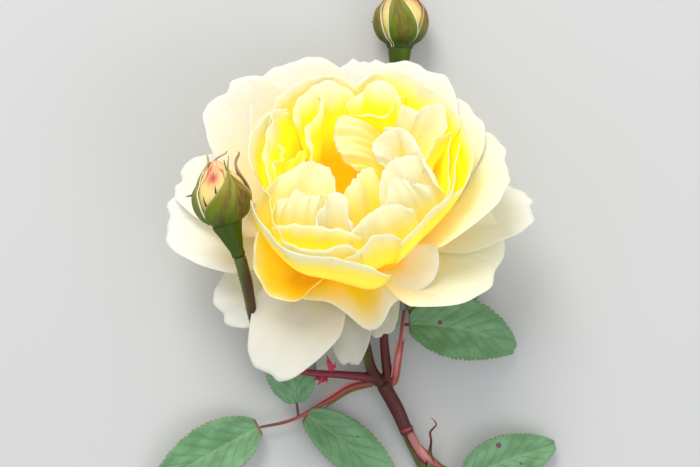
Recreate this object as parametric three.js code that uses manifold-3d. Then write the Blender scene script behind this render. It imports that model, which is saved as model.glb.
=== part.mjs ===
// A cut flowering branch of a yellow garden rose, lying on a level surface with its open bloom facing up.
// Millimetres. +Z is up, +Y runs from the cut end of the stem towards the tip of the branch.
import * as THREE from "three";
import { mergeVertices } from "three/addons/utils/BufferGeometryUtils.js";
import Module from "manifold-3d";

const wasm = await Module();
wasm.setup();

// Driving dimensions
const standAt = [-4.42, 11.26, 0]; // moves the centre of the footprint to the origin
const gap = 0.35; // clearance between neighbouring pieces
const bladeThickness = 0.7;
const petalThickness = 0.8;
const bloomTilt = 30; // degrees that the bloom's axis leans from +Z towards +Y
const bloomSeat = [0, -0.5, 24]; // where the petals join the hip
const caneRadius = 2.4;
const hipRadius = 5.4;
const hipLength = 12;
const budRadius = 8.2;
const budHeight = 20;

// Colours, from the deepest yellow of the heart to the stems
const colours = {
  bloom: 0xf9e58c,
  budPetal: 0xf2cf6a,
  calyx: 0x55752e,
  stem: 0x6d3536,
  leaf: 0x4f7a55,
  stalk: 0x9a4a3c,
};

const radians = THREE.MathUtils.degToRad;
const mix = THREE.MathUtils.lerp;

function ease(t) {
  return THREE.MathUtils.smoothstep(t, 0, 1);
}

// Solids

function toSolid(geometry) {
  const bare = new THREE.BufferGeometry();
  const source = geometry.index ? geometry.toNonIndexed() : geometry;
  bare.setAttribute("position", source.getAttribute("position"));
  const merged = mergeVertices(bare, 1e-4);
  const triVerts = new Uint32Array(merged.index.array);
  const vertProperties = new Float32Array(merged.attributes.position.array);
  const build = () => new wasm.Manifold(new wasm.Mesh({ numProp: 3, vertProperties, triVerts }));
  const solid = build();
  if (solid.volume() > 0) return solid;
  for (let i = 0; i < triVerts.length; i += 3) {
    [triVerts[i + 1], triVerts[i + 2]] = [triVerts[i + 2], triVerts[i + 1]];
  }
  return build();
}

function toGeometry(solid) {
  const mesh = solid.getMesh();
  const points = [];
  for (const index of mesh.triVerts) {
    const at = index * mesh.numProp;
    points.push(mesh.vertProperties[at], mesh.vertProperties[at + 1], mesh.vertProperties[at + 2]);
  }
  const geometry = new THREE.BufferGeometry();
  geometry.setAttribute("position", new THREE.Float32BufferAttribute(points, 3));
  geometry.computeVertexNormals();
  return geometry;
}

// The largest piece of a solid, with any hollow sealed inside it filled and loose scraps dropped
function largest(solid) {
  const bodies = solid.decompose();
  return bodies.reduce((best, body) => (body.volume() > best.volume() ? body : best));
}

function fuse(solids) {
  return largest(wasm.Manifold.union(solids));
}

function cutClear(solid, cutters) {
  return largest(cutters.reduce((rest, cutter) => rest.subtract(cutter), solid));
}

// Moves each vertex of a geometry to the place that a function gives for it
function bend(geometry, place) {
  const position = geometry.getAttribute("position");
  const vertex = new THREE.Vector3();
  for (let i = 0; i < position.count; i += 1) {
    vertex.fromBufferAttribute(position, i);
    position.setXYZ(i, ...place(vertex));
  }
  return geometry;
}

// Limbs: tapering stalks along a smooth curve

function limb({ points, radii, sides = 8, steps = 12 }, grow = 0) {
  const curve = new THREE.CatmullRomCurve3(points.map((p) => new THREE.Vector3(...p)));
  const radiusAt = (t) => {
    const span = t * (radii.length - 1);
    const index = Math.min(Math.floor(span), radii.length - 2);
    return mix(radii[index], radii[index + 1], span - index) + grow;
  };
  return toSolid(
    bend(new THREE.CylinderGeometry(1, 1, 1, sides, steps), (vertex) => {
      const t = THREE.MathUtils.clamp(vertex.y + 0.5, 0, 1);
      const along = curve.getTangentAt(t);
      const side = along.clone().cross(new THREE.Vector3(0, 0, 1)).normalize();
      const up = side.clone().cross(along);
      const radius = radiusAt(t);
      return curve
        .getPointAt(t)
        .addScaledVector(side, vertex.x * radius)
        .addScaledVector(up, vertex.z * radius)
        .toArray();
    }),
  );
}

// Blades: leaflets and bracts. A blade leaves its base at a heading and pitch, and curves as it goes.

function leafOutline(v) {
  return Math.sin(Math.PI * Math.min(1, v * 0.94 + 0.03) ** 0.82) ** 0.72;
}

function bladeSolid(blade) {
  const { base, heading, pitch, length, halfWidth } = blade;
  const { sweep = 0, droop = 0, bank = 0, fold = 14, teeth = 0, columns = 4, rows = 14 } = blade;
  const { thickness = bladeThickness, outline = leafOutline, ripple = 0 } = blade;
  const path = [new THREE.Vector3(...base)];
  const directionAt = (v) => {
    const turn = radians(heading + sweep * v);
    const rise = radians(pitch + droop * v);
    return new THREE.Vector3(
      Math.cos(turn) * Math.cos(rise),
      Math.sin(turn) * Math.cos(rise),
      Math.sin(rise),
    );
  };
  for (let i = 0; i < rows; i += 1) {
    const step = directionAt((i + 0.5) / rows).multiplyScalar(length / rows);
    path.push(path[i].clone().add(step));
  }
  return toSolid(
    bend(new THREE.BoxGeometry(2, 1, 1, columns, rows, 1), (vertex) => {
      const v = vertex.y + 0.5;
      const row = Math.round(v * rows);
      const along = directionAt(v);
      const level = along.clone().cross(new THREE.Vector3(0, 0, 1)).normalize();
      const side = level.clone().applyAxisAngle(along, radians(bank));
      const up = side.clone().cross(along);
      const tooth = teeth && row % 2 ? 1 - teeth : 1;
      const edge = Math.abs(vertex.x) > 0.99 ? tooth : 1;
      const across = vertex.x * Math.max(0.02, outline(v)) * halfWidth * edge;
      const lift = Math.abs(across) * Math.tan(radians(fold));
      const wave = ripple * Math.sin(v * 9 + Math.sign(vertex.x) * 2) * vertex.x ** 2;
      return path[row]
        .clone()
        .addScaledVector(side, across)
        .addScaledVector(up, lift + wave + vertex.z * thickness)
        .toArray();
    }),
  );
}

// Petals. In the bloom's own frame an outer petal starts at the hip and follows a profile. Its lean is
// measured from the bloom's axis: 0 upright, 90 spread flat, more when it hangs back.

const profileSteps = 24;

function petalProfile(petal) {
  const [claw, middle, rim] = petal.lean.map(radians);
  const leanAt = (t) => {
    const first = claw * (1 - t) * (1 - 2 * t);
    const second = 4 * middle * t * (1 - t);
    const third = rim * t * (2 * t - 1);
    return first + second + third;
  };
  const profile = [{ r: petal.seat[0], h: petal.seat[1], lean: claw }];
  for (let i = 0; i < profileSteps; i += 1) {
    const lean = leanAt((i + 0.5) / profileSteps);
    const last = profile[i];
    profile.push({
      r: last.r + (Math.sin(lean) * petal.length) / profileSteps,
      h: last.h + (Math.cos(lean) * petal.length) / profileSteps,
      lean: leanAt((i + 1) / profileSteps),
    });
  }
  return profile;
}

function petalWidth(petal, t) {
  const claw = 0.26;
  return petal.halfWidth * (claw + (1 - claw) * ease(Math.min(1, t / 0.62)));
}

function petalPoint(petal, profile, u, v, lift) {
  const shoulder = 0.42 * Math.abs(u) ** 2.6;
  const notch = petal.notch * Math.exp(-((u / 0.2) ** 2));
  const t = v * (1 - shoulder - notch);
  const span = t * profileSteps;
  const index = Math.min(Math.floor(span), profileSteps - 1);
  const share = span - index;
  const r = mix(profile[index].r, profile[index + 1].r, share);
  const h = mix(profile[index].h, profile[index + 1].h, share);
  const lean = mix(profile[index].lean, profile[index + 1].lean, share);
  const turn = (u * petalWidth(petal, t)) / petal.cup;
  const across = petal.cup * Math.sin(turn);
  const wave = petal.wave * Math.sin(petal.waves * u) * t ** 3;
  const inward = petal.cup * (1 - Math.cos(turn)) + petal.tuck * u * t + wave + lift * Math.cos(turn);
  const sideways = across - lift * Math.sin(turn);
  const bearing = radians(petal.bearing);
  const radial = r - Math.cos(lean) * inward;
  return [
    radial * Math.cos(bearing) + sideways * Math.sin(bearing),
    radial * Math.sin(bearing) - sideways * Math.cos(bearing),
    h + Math.sin(lean) * inward,
  ];
}

const petalDefaults = {
  seat: [3, 1],
  cup: 34,
  notch: 0.03,
  wave: 0.8,
  waves: 5,
  tuck: 2,
  columns: 5,
  rows: 5,
  thickness: petalThickness,
};

function petalSolid(row) {
  const petal = { ...petalDefaults, ...row };
  const profile = petalProfile(petal);
  return toSolid(
    bend(new THREE.BoxGeometry(2, 1, 1, petal.columns, petal.rows, 1), (vertex) =>
      petalPoint(petal, profile, vertex.x, vertex.y + 0.5, vertex.z * petal.thickness),
    ),
  );
}

// The outer petals, by bearing round the bloom from +X: flared above, spread beside, hanging back below
const guardPetals = [
  { bearing: 164, length: 55, halfWidth: 16, lean: [72, 84, 88] },
  { bearing: 177, length: 56, halfWidth: 20, lean: [74, 90, 92], cup: 60 },
  { bearing: 140, length: 57, halfWidth: 22, lean: [76, 58, 62] },
  { bearing: 116, length: 56, halfWidth: 23, lean: [78, 58, 64] },
  { bearing: 87, length: 55, halfWidth: 21, lean: [76, 56, 62] },
  { bearing: 65, length: 56, halfWidth: 23, lean: [76, 56, 62] },
  { bearing: 35, length: 53.5, halfWidth: 20, lean: [74, 54, 58] },
  { bearing: 9, length: 55, halfWidth: 24, lean: [74, 52, 64] },
  { bearing: 4, length: 56, halfWidth: 15, lean: [74, 82, 86], cup: 60 },
  { bearing: -21, length: 47, halfWidth: 25, lean: [76, 80, 90], cup: 50 },
  { bearing: 241, length: 51, halfWidth: 15, lean: [84, 100, 98], cup: 50 },
  { bearing: 211, length: 46, halfWidth: 14, lean: [86, 104, 104], cup: 50 },
  { bearing: 270, length: 40, halfWidth: 8, lean: [90, 110, 112], cup: 40 },
  { bearing: 290, length: 32, halfWidth: 9, lean: [90, 110, 112], cup: 40 },
];

// A spanned petal goes from its claw to a rim drawn through a few places. Each place is given as seen from
// straight above, x and y, with how far it lies below the plane of the cup's rim. Rise and over are the lean
// from the bloom's axis, in degrees, and the pull: rise at the petal's claw, over at its rim.
const rimMiddle = { y: 17.5, z: 55.2 };

const spanDefaults = {
  claw: [5, 3],
  clawWidth: 3,
  rise: [84, 54],
  over: [-5, 30],
  fan: 25,
  shoulder: 0.1,
  columns: 4,
  rows: 5,
  thickness: petalThickness,
};

function rimPlace([x, y, sink]) {
  const z = rimMiddle.z - Math.tan(radians(bloomTilt)) * (y - rimMiddle.y) - sink;
  return new THREE.Vector3(x, y, z).applyMatrix4(bloomFrame.clone().invert());
}

function spannedSolid(row) {
  const petal = { ...spanDefaults, ...row };
  const rim = new THREE.CatmullRomCurve3(petal.rim.map(rimPlace), false, "centripetal");
  const bearing = radians(petal.bearing);
  const upright = new THREE.Vector3(0, 0, 1);
  const [radius, height] = petal.claw;
  const claw = new THREE.Vector3(radius * Math.cos(bearing), radius * Math.sin(bearing), height);
  const clawSide = new THREE.Vector3(-Math.sin(bearing), Math.cos(bearing), 0);
  const hand = rim.getPointAt(1).sub(rim.getPointAt(0)).dot(clawSide) < 0 ? -1 : 1;
  const pull = (turn, [lean, size]) =>
    new THREE.Vector3(Math.cos(turn), Math.sin(turn), 0)
      .multiplyScalar(size * Math.sin(radians(lean)))
      .addScaledVector(upright, size * Math.cos(radians(lean)));
  const spot = (u, v) => {
    const t = v * (1 - petal.shoulder * Math.abs(u) ** 3);
    const turn = bearing + hand * radians(petal.fan) * u;
    return claw
      .clone()
      .addScaledVector(clawSide, hand * petal.clawWidth * u)
      .multiplyScalar(2 * t ** 3 - 3 * t ** 2 + 1)
      .addScaledVector(pull(turn, petal.rise), t ** 3 - 2 * t ** 2 + t)
      .addScaledVector(rim.getPointAt((u + 1) / 2), 3 * t ** 2 - 2 * t ** 3)
      .addScaledVector(pull(turn, petal.over), t ** 3 - t ** 2);
  };
  const step = 1e-3;
  return toSolid(
    bend(new THREE.BoxGeometry(2, 1, 1, petal.columns, petal.rows, 1), (vertex) => {
      const u = THREE.MathUtils.clamp(vertex.x, -1, 1);
      const v = THREE.MathUtils.clamp(vertex.y + 0.5, 0, 1);
      const across = spot(Math.min(1, u + step), v).sub(spot(Math.max(-1, u - step), v));
      const along = spot(u, Math.min(1, v + step)).sub(spot(u, Math.max(0, v - step)));
      const normal = along.cross(across).normalize();
      return spot(u, v)
        .addScaledVector(normal, vertex.z * petal.thickness)
        .toArray();
    }),
  );
}

// Places a shape that is built round +Z, at a point and along an axis
function placement(point, axis) {
  const turn = new THREE.Quaternion().setFromUnitVectors(
    new THREE.Vector3(0, 0, 1),
    new THREE.Vector3(...axis).normalize(),
  );
  return new THREE.Matrix4().compose(new THREE.Vector3(...point), turn, new THREE.Vector3(1, 1, 1));
}

// A turned solid round +Z from a profile of [radius, height]
function turned(profile, sides) {
  const outline = profile.map(([radius, height]) => new THREE.Vector2(radius, height));
  return toSolid(new THREE.LatheGeometry(outline, sides).rotateX(Math.PI / 2));
}

const bloomAxis = [0, Math.sin(radians(bloomTilt)), Math.cos(radians(bloomTilt))];
const bloomFrame = placement(bloomSeat, bloomAxis);

// The big petals that hang under the front of the cup
const apronPetals = [
  {
    rim: [[-30, 0.5, 7], [-22.5, -19.5, 30.5], [-10, -14.5, 23.5]],
    bearing: 236,
    rise: [88, 40],
    over: [60, 30],
    fan: 20,
  },
  {
    rim: [
      [-29, -17.5, 25.5],
      [-4.5, -21.5, 35.5],
      [6.5, -30, 48.5],
      [14.5, -21, 35.5],
      [28.5, -5.5, 16.5],
    ],
    bearing: 280,
    rise: [84, 40],
    over: [105, 34],
    fan: 45,
    columns: 8,
  },
];

// The cup that stands up round the heart, from its front leftwards, then the petals just inside it
const cupPetals = [
  { rim: [[-30, 10, 0], [-15.5, -5.5, 0], [12, -11.5, 4]], bearing: 238, rise: [92, 62] },
  { rim: [[-30.5, 19.5, 0], [-29, 31, 0], [-19.5, 40, 1]], bearing: 158, over: [30, 22] },
  { rim: [[-26.5, 33.5, 0], [-13.5, 47.5, 0], [3, 46, 1]], bearing: 122, over: [25, 26] },
  { rim: [[0.5, 47, 1], [21.5, 47, 0], [35, 34, 1]], bearing: 48, over: [25, 26], fan: 30 },
  { rim: [[28, 10, 2], [37, 23.5, 0], [32.5, 39, 1]], bearing: 350, rise: [92, 58], over: [5, 28] },
  { rim: [[15, -1.5, 0], [30.5, 13, 0], [33, 30, 1]], bearing: 330, rise: [92, 58] },
  { rim: [[-4, -8.5, 5], [5, -3, 1], [15.5, 0, 1]], bearing: 285, rise: [88, 54], over: [-10, 30] },
  { rim: [[-20.5, 0, 0], [-8, -5, 0], [3.5, -3.5, 0]], bearing: 258, over: [-15, 28] },
  { rim: [[-22.5, 4, 1], [-9, 2, 1], [3.5, 1.5, 1]], bearing: 255, over: [-35, 30] },
  { rim: [[-19, -1.5, 2], [-23, 6.5, 2], [-26, 16, 2]], bearing: 200, over: [-5, 25] },
  { rim: [[21.5, 3.5, 3], [30, 18, 2], [30, 32.5, 3]], bearing: 345, over: [-8, 28] },
];

// The heart: short petals that fold over one another, each claw where it can lean from
const heartSides = {
  left: { claw: [8, 3], clawWidth: 8, rise: [85, 62], over: [-75, 45], fan: 28 },
  front: { claw: [8, 4], clawWidth: 6, rise: [82, 56], over: [-66, 40], fan: 18 },
  right: { claw: [12, 8], clawWidth: 7, rise: [62, 36], over: [-80, 36], fan: 6 },
  back: { rise: [75, 44], over: [45, 20], fan: 22 },
};

const heartPetals = [
  { side: "left", rim: [[-22.5, 14.5, 3], [-12, 21.5, 1], [-3, 13, 5]], bearing: 238 },
  { side: "front", rim: [[-8, 4.5, 1], [-5, 12, 1], [1, 7, 1]], bearing: 262 },
  { side: "front", rim: [[-4, 12, 5], [4, 19, 4], [8.5, 18, 4]], bearing: 290 },
  { side: "front", rim: [[0, 1, 1], [9, 8, 0], [17.5, 10, 0]], bearing: 298, over: [-40, 34] },
  { side: "front", rim: [[7, 14.5, 3], [15.5, 23, 0], [23, 16.5, 1]], bearing: 322 },
  { side: "right", rim: [[-2, 19, 6], [-4.5, 27, 4], [-6, 36, 3]], bearing: 12, over: [-90, 48] },
  { side: "right", rim: [[8.5, 20, 3], [6.5, 25.5, 1], [9.5, 31.5, 1]], bearing: 8 },
  { side: "right", rim: [[22, 19, 5], [25, 27, 3], [30.5, 32.5, 3]], bearing: 5, over: [-30, 18] },
  { side: "right", rim: [[11, 33.5, 3], [19, 29, 2], [23, 19.5, 3]], bearing: 25, over: [60, 10] },
  { side: "back", rim: [[16.5, 42, 3], [25, 39, 1], [29, 32.5, 3]], bearing: 40 },
  { side: "back", rim: [[-1.5, 42, 3], [7.5, 47, 1], [16.5, 42, 2]], bearing: 78 },
  { side: "back", rim: [[0, 37, 4], [9, 35, 4], [16.5, 42, 4]], bearing: 75, over: [-60, 26] },
  { side: "back", rim: [[-19.5, 36, 3], [-10, 46, 1], [2, 43, 2]], bearing: 112, over: [85, 20] },
  { side: "back", rim: [[-11, 43, 2], [-13.5, 32, 4], [-9.5, 20.5, 6]], bearing: 150, claw: [14, 8] },
  { side: "back", rim: [[-26, 14.5, 3], [-25, 30, 1], [-19, 39, 2]], bearing: 160 },
];

// What fills the bottom of the cup, as [radius, height] in the bloom's own frame
const coreProfile = [
  [0, 0],
  [4.6, 0],
  [10, 1.4],
  [20, 3.6],
  [27, 8],
  [30, 15],
  [28, 23],
  [20, 25],
  [0, 26],
];

function bloomSolid() {
  const spanned = [...apronPetals, ...cupPetals];
  const folded = heartPetals.map(({ side, ...row }) => ({ ...heartSides[side], ...row }));
  const petals = [...guardPetals.map(petalSolid), ...[...spanned, ...folded].map(spannedSolid)];
  return fuse([turned(coreProfile, 16), ...petals]).transform(bloomFrame.elements);
}

// The bloom's green base: the hip, with five sepals hanging back along the stalk
const sepalCount = 5;

function hipProfile(radius, length, stalk) {
  return [
    [0, -length],
    [stalk, -length],
    [radius * 0.72, -length * 0.72],
    [radius, -length * 0.36],
    [radius * 0.94, -length * 0.1],
    [radius * 0.82, -gap],
    [0, -gap],
  ];
}

function bloomCalyx() {
  const sepals = Array.from({ length: sepalCount }, (_, i) =>
    petalSolid({
      bearing: 54 + (360 / sepalCount) * i,
      seat: [2.6, -2.2],
      length: 18,
      halfWidth: 3.6,
      lean: [100, 124, 150],
      cup: 8,
      tuck: 0,
      wave: 0,
      notch: -0.2,
      columns: 2,
      rows: 6,
    }),
  );
  return fuse([turned(hipProfile(hipRadius, hipLength, 2.2), 12), ...sepals]);
}

// Buds: an egg of furled petals held in a hip and five sepals

function eggRadius(h) {
  const t = THREE.MathUtils.clamp(h / budHeight, 0, 1);
  return budRadius * Math.sin(Math.PI * (0.1 + 0.88 * t) ** 0.82) ** 0.8;
}

function budPetals() {
  const rings = 8;
  const profile = Array.from({ length: rings + 1 }, (_, i) => {
    const h = (budHeight * i) / rings;
    return [eggRadius(h), h];
  });
  return turned([[0, 0], ...profile, [0, budHeight + 0.6]], 12);
}

function budSepal({ bearing, spread, flick }) {
  const length = budHeight * 1.22;
  const thickness = 0.8;
  return toSolid(
    bend(new THREE.BoxGeometry(2, 1, 1, 3, 8, 1), (vertex) => {
      const row = Math.round((vertex.y + 0.5) * 8);
      const v = row / 8;
      const h = row ? ((row - 1) / 7) * length : -1.4;
      const half = radians(spread) * Math.max(0.04, 1 - v ** 1.3);
      const away = flick * Math.max(0, v - 0.62) ** 2;
      const hug = Math.max(eggRadius(h), 1.6 * ease((h / budHeight - 0.7) * 4));
      const sunk = h < 0 ? 0.9 : 0;
      const r = hug + 1.7 * gap + away - sunk + (vertex.z + 0.5) * thickness;
      const turn = radians(bearing) - vertex.x * half;
      return [r * Math.cos(turn), r * Math.sin(turn), h];
    }),
  );
}

function budCalyx(sepals, stalk) {
  const cup = turned(
    [
      [0, -11],
      [stalk, -11],
      [stalk * 1.5, -8],
      [4.1, -3.6],
      [4.7, -1.4],
      [4.4, -gap],
      [0, -gap],
    ],
    12,
  );
  return fuse([cup, ...sepals.map(budSepal)]);
}

const leftBud = {
  seat: [-37.2, 2.6, 49.5],
  axis: [-0.34, 0.93, 0.1],
  sepals: [
    { bearing: 60, spread: 40, flick: 12 },
    { bearing: 150, spread: 34, flick: 20 },
    { bearing: 222, spread: 36, flick: 26 },
    { bearing: 294, spread: 38, flick: 16 },
    { bearing: -12, spread: 36, flick: 34 },
  ],
};

const topBud = {
  seat: [16.2, 61.5, 9.4],
  axis: [0.04, 1, 0.02],
  sepals: [90, 162, 234, 306, 18].map((bearing, i) => ({ bearing, spread: 32, flick: 10 + 3 * i })),
};

// Stems

const limbs = {
  cane: {
    points: [
      [31.5, -89, caneRadius + 0.1],
      [26, -77, 3],
      [21.3, -66.7, 4],
      [15.4, -58.4, 5.2],
      [9, -49.5, 6.6],
    ],
    radii: [caneRadius, caneRadius, 2.8, 2.3, 2.5],
    sides: 12,
    steps: 12,
  },
  bloom_pedicel: {
    points: [
      [9, -49.5, 6.6],
      [5.4, -38, 7],
      [2.5, -24, 7.2],
      [0.6, -13.5, 8.8],
      [0, -7.4, 12.1],
    ],
    radii: [2, 1.8, 1.8, 1.9, 2],
    steps: 14,
  },
  top_bud_pedicel: {
    points: [
      [12.4, -52, 6],
      [11, -40, 6],
      [11.5, -20, 5],
      [13.4, 15, 4.6],
      [15.7, 49.6, 8.8],
    ],
    radii: [1.5, 1.3, 1.3, 1.3, 1.6],
    steps: 12,
  },
  left_bud_pedicel: {
    points: [
      [8.5, -48, 7.4],
      [-4, -46, 9.5],
      [-16, -43.6, 14],
      [-25.6, -38.4, 21],
      [-31, -27, 33],
      [-33.4, -14, 43.6],
      [-34, -8.4, 47.6],
    ],
    radii: [1.6, 1.35, 1.35, 1.4, 1.5, 1.7, 2],
    steps: 16,
  },
  left_leaf_stalk: {
    points: [
      [6, -49.5, 5.6],
      [-4, -54, 4.6],
      [-13, -58, 4],
      [-21, -61.3, 4],
      [-29.6, -63.2, 4.2],
    ],
    radii: [1.2, 1.1, 0.8, 0.8, 0.7],
    sides: 6,
    steps: 10,
  },
  right_leaf_stalk: {
    points: [
      [12, -52.5, 6.8],
      [15, -42, 8.6],
      [16.4, -32.6, 8.6],
      [17.8, -24.6, 7],
    ],
    radii: [1.2, 0.9, 0.7, 0.6],
    sides: 6,
    steps: 8,
  },
  lower_leaf_stalk: {
    points: [
      [23, -69, 4.4],
      [27.6, -73.6, 4.6],
      [35, -79, 4],
      [43.6, -84, 3.2],
    ],
    radii: [1.4, 1, 0.8, 0.7],
    sides: 6,
    steps: 8,
  },
};

// Leaflets, each on the stalk that carries it
const leaf = { teeth: 0.09, rows: 14, columns: 4 };
const leaflets = {
  left_leaf_tip: {
    on: "left_leaf_stalk",
    base: [-29.8, -63.2, 4.2],
    heading: 212,
    sweep: 4,
    pitch: 6,
    droop: -12,
    length: 41,
    halfWidth: 11,
    bank: -6,
  },
  left_leaf_lower: {
    on: "left_leaf_stalk",
    base: [-15.4, -59.2, 4],
    heading: -14,
    sweep: -62,
    pitch: 4,
    droop: -10,
    length: 42,
    halfWidth: 11,
    bank: 4,
  },
  left_leaf_upper: {
    on: "left_leaf_stalk",
    base: [-18, -59.4, 4.2],
    heading: 100,
    sweep: 6,
    pitch: 14,
    droop: -14,
    length: 30,
    halfWidth: 8.5,
  },
  right_leaf_side: {
    on: "right_leaf_stalk",
    base: [16.8, -31.8, 8.7],
    heading: 20,
    sweep: -52,
    pitch: 8,
    droop: -26,
    length: 38,
    halfWidth: 10.5,
    bank: 8,
  },
  right_leaf_tip: {
    on: "right_leaf_stalk",
    base: [18.2, -24, 7],
    heading: 16,
    sweep: 4,
    pitch: -14,
    droop: 8,
    length: 31,
    halfWidth: 10,
  },
  right_leaf_inner: {
    on: "right_leaf_stalk",
    base: [14.4, -30, 8.8],
    heading: 122,
    sweep: 6,
    pitch: 6,
    droop: 0,
    length: 18,
    halfWidth: 5,
  },
  lower_leaf_side: {
    on: "lower_leaf_stalk",
    base: [36.6, -79.2, 4],
    heading: 26,
    sweep: -8,
    pitch: 4,
    droop: -8,
    length: 32,
    halfWidth: 9,
  },
  lower_leaf_tip: {
    on: "lower_leaf_stalk",
    base: [44.2, -84.3, 3.4],
    heading: -30,
    sweep: -6,
    pitch: 2,
    droop: -8,
    length: 34,
    halfWidth: 9.5,
  },
  lower_leaf_inner: {
    on: "lower_leaf_stalk",
    base: [35.4, -81.6, 3.6],
    heading: -94,
    sweep: 4,
    pitch: 2,
    droop: -8,
    length: 27,
    halfWidth: 8,
  },
};

function lance(v) {
  return (0.5 + 0.5 * Math.sin(Math.PI * Math.min(1, v * 1.4))) * (1 - v ** 3);
}

const bracts = {
  upper_bract: {
    on: "left_bud_pedicel",
    base: [-6.6, -44.8, 11.4],
    heading: 112,
    pitch: 20,
    length: 7,
    halfWidth: 1.5,
    outline: lance,
    columns: 2,
    rows: 4,
  },
  lower_bract: {
    on: "left_bud_pedicel",
    base: [-8, -46.8, 9.8],
    heading: 236,
    pitch: -6,
    length: 5,
    halfWidth: 1.5,
    outline: lance,
    columns: 2,
    rows: 4,
  },
  node_bract: {
    on: "cane",
    base: [27, -74.4, 5.6],
    heading: 78,
    sweep: 18,
    pitch: 16,
    length: 17,
    halfWidth: 1.6,
    outline: lance,
    columns: 2,
    rows: 6,
  },
};

// Assembly: each piece is cut clear of the ones it grows from

const group = new THREE.Group();
group.position.set(...standAt);

function add(name, solid, colour, roughness = 0.6) {
  const material = new THREE.MeshStandardMaterial({ color: colour, roughness, metalness: 0 });
  const mesh = new THREE.Mesh(toGeometry(solid), material);
  mesh.name = name;
  group.add(mesh);
}

const grown = [];
const solids = {};
for (const [name, row] of Object.entries(limbs)) {
  solids[name] = grown.length ? cutClear(limb(row), grown) : limb(row);
  grown.push(limb(row, gap));
  add(name, solids[name], name.endsWith("stalk") ? colours.stalk : colours.stem, 0.5);
}

for (const [name, row] of Object.entries({ ...leaflets, ...bracts })) {
  const isLeaflet = name in leaflets;
  const blade = bladeSolid(isLeaflet ? { ...leaf, ...row } : row);
  add(name, cutClear(blade, grown), isLeaflet ? colours.leaf : colours.stalk, 0.55);
}

const stalkRoom = limb(limbs.bloom_pedicel, gap);
add("bloom_calyx", cutClear(bloomCalyx().transform(bloomFrame.elements), [stalkRoom]), colours.calyx);
const besideRoom = [limb(limbs.left_bud_pedicel, gap), limb(limbs.top_bud_pedicel, gap)];
add("bloom", cutClear(bloomSolid(), besideRoom), colours.bloom, 0.5);

for (const [name, bud] of Object.entries({ left_bud: leftBud, top_bud: topBud })) {
  const frame = placement(bud.seat, bud.axis).elements;
  const stalk = limb(limbs[`${name}_pedicel`], gap);
  add(`${name}_calyx`, cutClear(budCalyx(bud.sepals, 2).transform(frame), [stalk]), colours.calyx);
  add(`${name}_petals`, budPetals().transform(frame), colours.budPetal, 0.5);
}

export default group;
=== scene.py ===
import math
import random

import bpy
import numpy as np
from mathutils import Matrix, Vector
from mathutils.kdtree import KDTree


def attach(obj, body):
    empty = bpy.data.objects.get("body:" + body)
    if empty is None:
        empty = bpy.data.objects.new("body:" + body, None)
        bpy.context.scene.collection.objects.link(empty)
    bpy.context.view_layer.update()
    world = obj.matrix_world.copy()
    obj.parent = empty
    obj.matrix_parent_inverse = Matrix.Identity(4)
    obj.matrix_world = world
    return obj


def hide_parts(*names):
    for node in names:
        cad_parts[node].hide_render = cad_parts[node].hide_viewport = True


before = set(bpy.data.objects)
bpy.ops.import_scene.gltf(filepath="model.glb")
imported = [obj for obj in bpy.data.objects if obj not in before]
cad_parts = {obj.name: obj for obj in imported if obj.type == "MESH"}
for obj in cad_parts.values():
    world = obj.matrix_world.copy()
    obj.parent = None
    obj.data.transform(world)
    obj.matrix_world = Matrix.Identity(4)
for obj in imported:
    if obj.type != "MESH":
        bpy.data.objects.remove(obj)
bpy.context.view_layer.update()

mm = 0.001
standAt = np.array([-4.42, 11.26, 0.0])  # the part's own shift onto the centre of its footprint, mm

# every part varies by a seed of its own, counted up from these
firstSeed = {
    "guardPetal": 0, "apronPetal": 50, "cupPetal": 100, "heartPetal": 200, "stem": 0, "stemExtra": 10,
    "stalk": 20, "wing": 30, "leaflet": 60, "bract": 80, "curledBract": 95, "bloomSepal": 300,
    "budSepal": 320, "budPetal": 360,
}


def ease(t):
    t = np.clip(t, 0.0, 1.0)
    return t * t * (3 - 2 * t)


def chance(n):  # the same repeatable number from 0 to 1 that the part's source uses
    x = math.sin(n * 12.9898) * 43758.5453
    return x - math.floor(x)


def noiseSeed(seed):  # moves a part's noise well away from the other parts'
    return 40 * chance(seed)


def ripples(seed, count, low, high):  # a few sine waves of random pitch, heading and phase
    dice = random.Random(seed)
    return [(dice.uniform(low, high), dice.uniform(-1, 1), dice.uniform(0, 6.28)) for _ in range(count)]


def rippleAt(waves, a, b):
    total = 0
    for pitch, slant, phase in waves:
        total = total + np.sin(pitch * a + pitch * slant * b + phase)
    return total / len(waves)


def smoothPath(points, count):
    # an even run of points along a centripetal spline through the given ones
    knots = np.array(points, float)
    knots = np.vstack([2 * knots[0] - knots[1], knots, 2 * knots[-1] - knots[-2]])
    dense = []
    for i in range(1, len(knots) - 2):
        p0, p1, p2, p3 = knots[i - 1:i + 3]
        d0, d1, d2 = (max(np.linalg.norm(b - a), 1e-4) ** 0.5 for a, b in ((p0, p1), (p1, p2), (p2, p3)))
        m1 = ((p1 - p0) / d0 - (p2 - p0) / (d0 + d1) + (p2 - p1) / d1) * d1
        m2 = ((p2 - p1) / d1 - (p3 - p1) / (d1 + d2) + (p3 - p2) / d2) * d1
        t = np.linspace(0, 1, 60, endpoint=i == len(knots) - 3)[:, None]
        dense.append(p1 * (2 * t**3 - 3 * t**2 + 1) + m1 * (t**3 - 2 * t**2 + t)
                     + p2 * (3 * t**2 - 2 * t**3) + m2 * (t**3 - t**2))
    dense = np.concatenate(dense)
    run = np.concatenate([[0], np.cumsum(np.linalg.norm(np.diff(dense, axis=0), axis=1))])
    even = np.linspace(0, run[-1], count)
    return np.stack([np.interp(even, run, dense[:, k]) for k in range(3)], axis=1), run[-1]


def readCurve(curve, t, start=0.0):  # the points at t on a curve whose even points run from start to 1
    marks = np.linspace(start, 1, len(curve))
    return np.stack([np.interp(t, marks, curve[:, k]) for k in range(3)], axis=-1)


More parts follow.
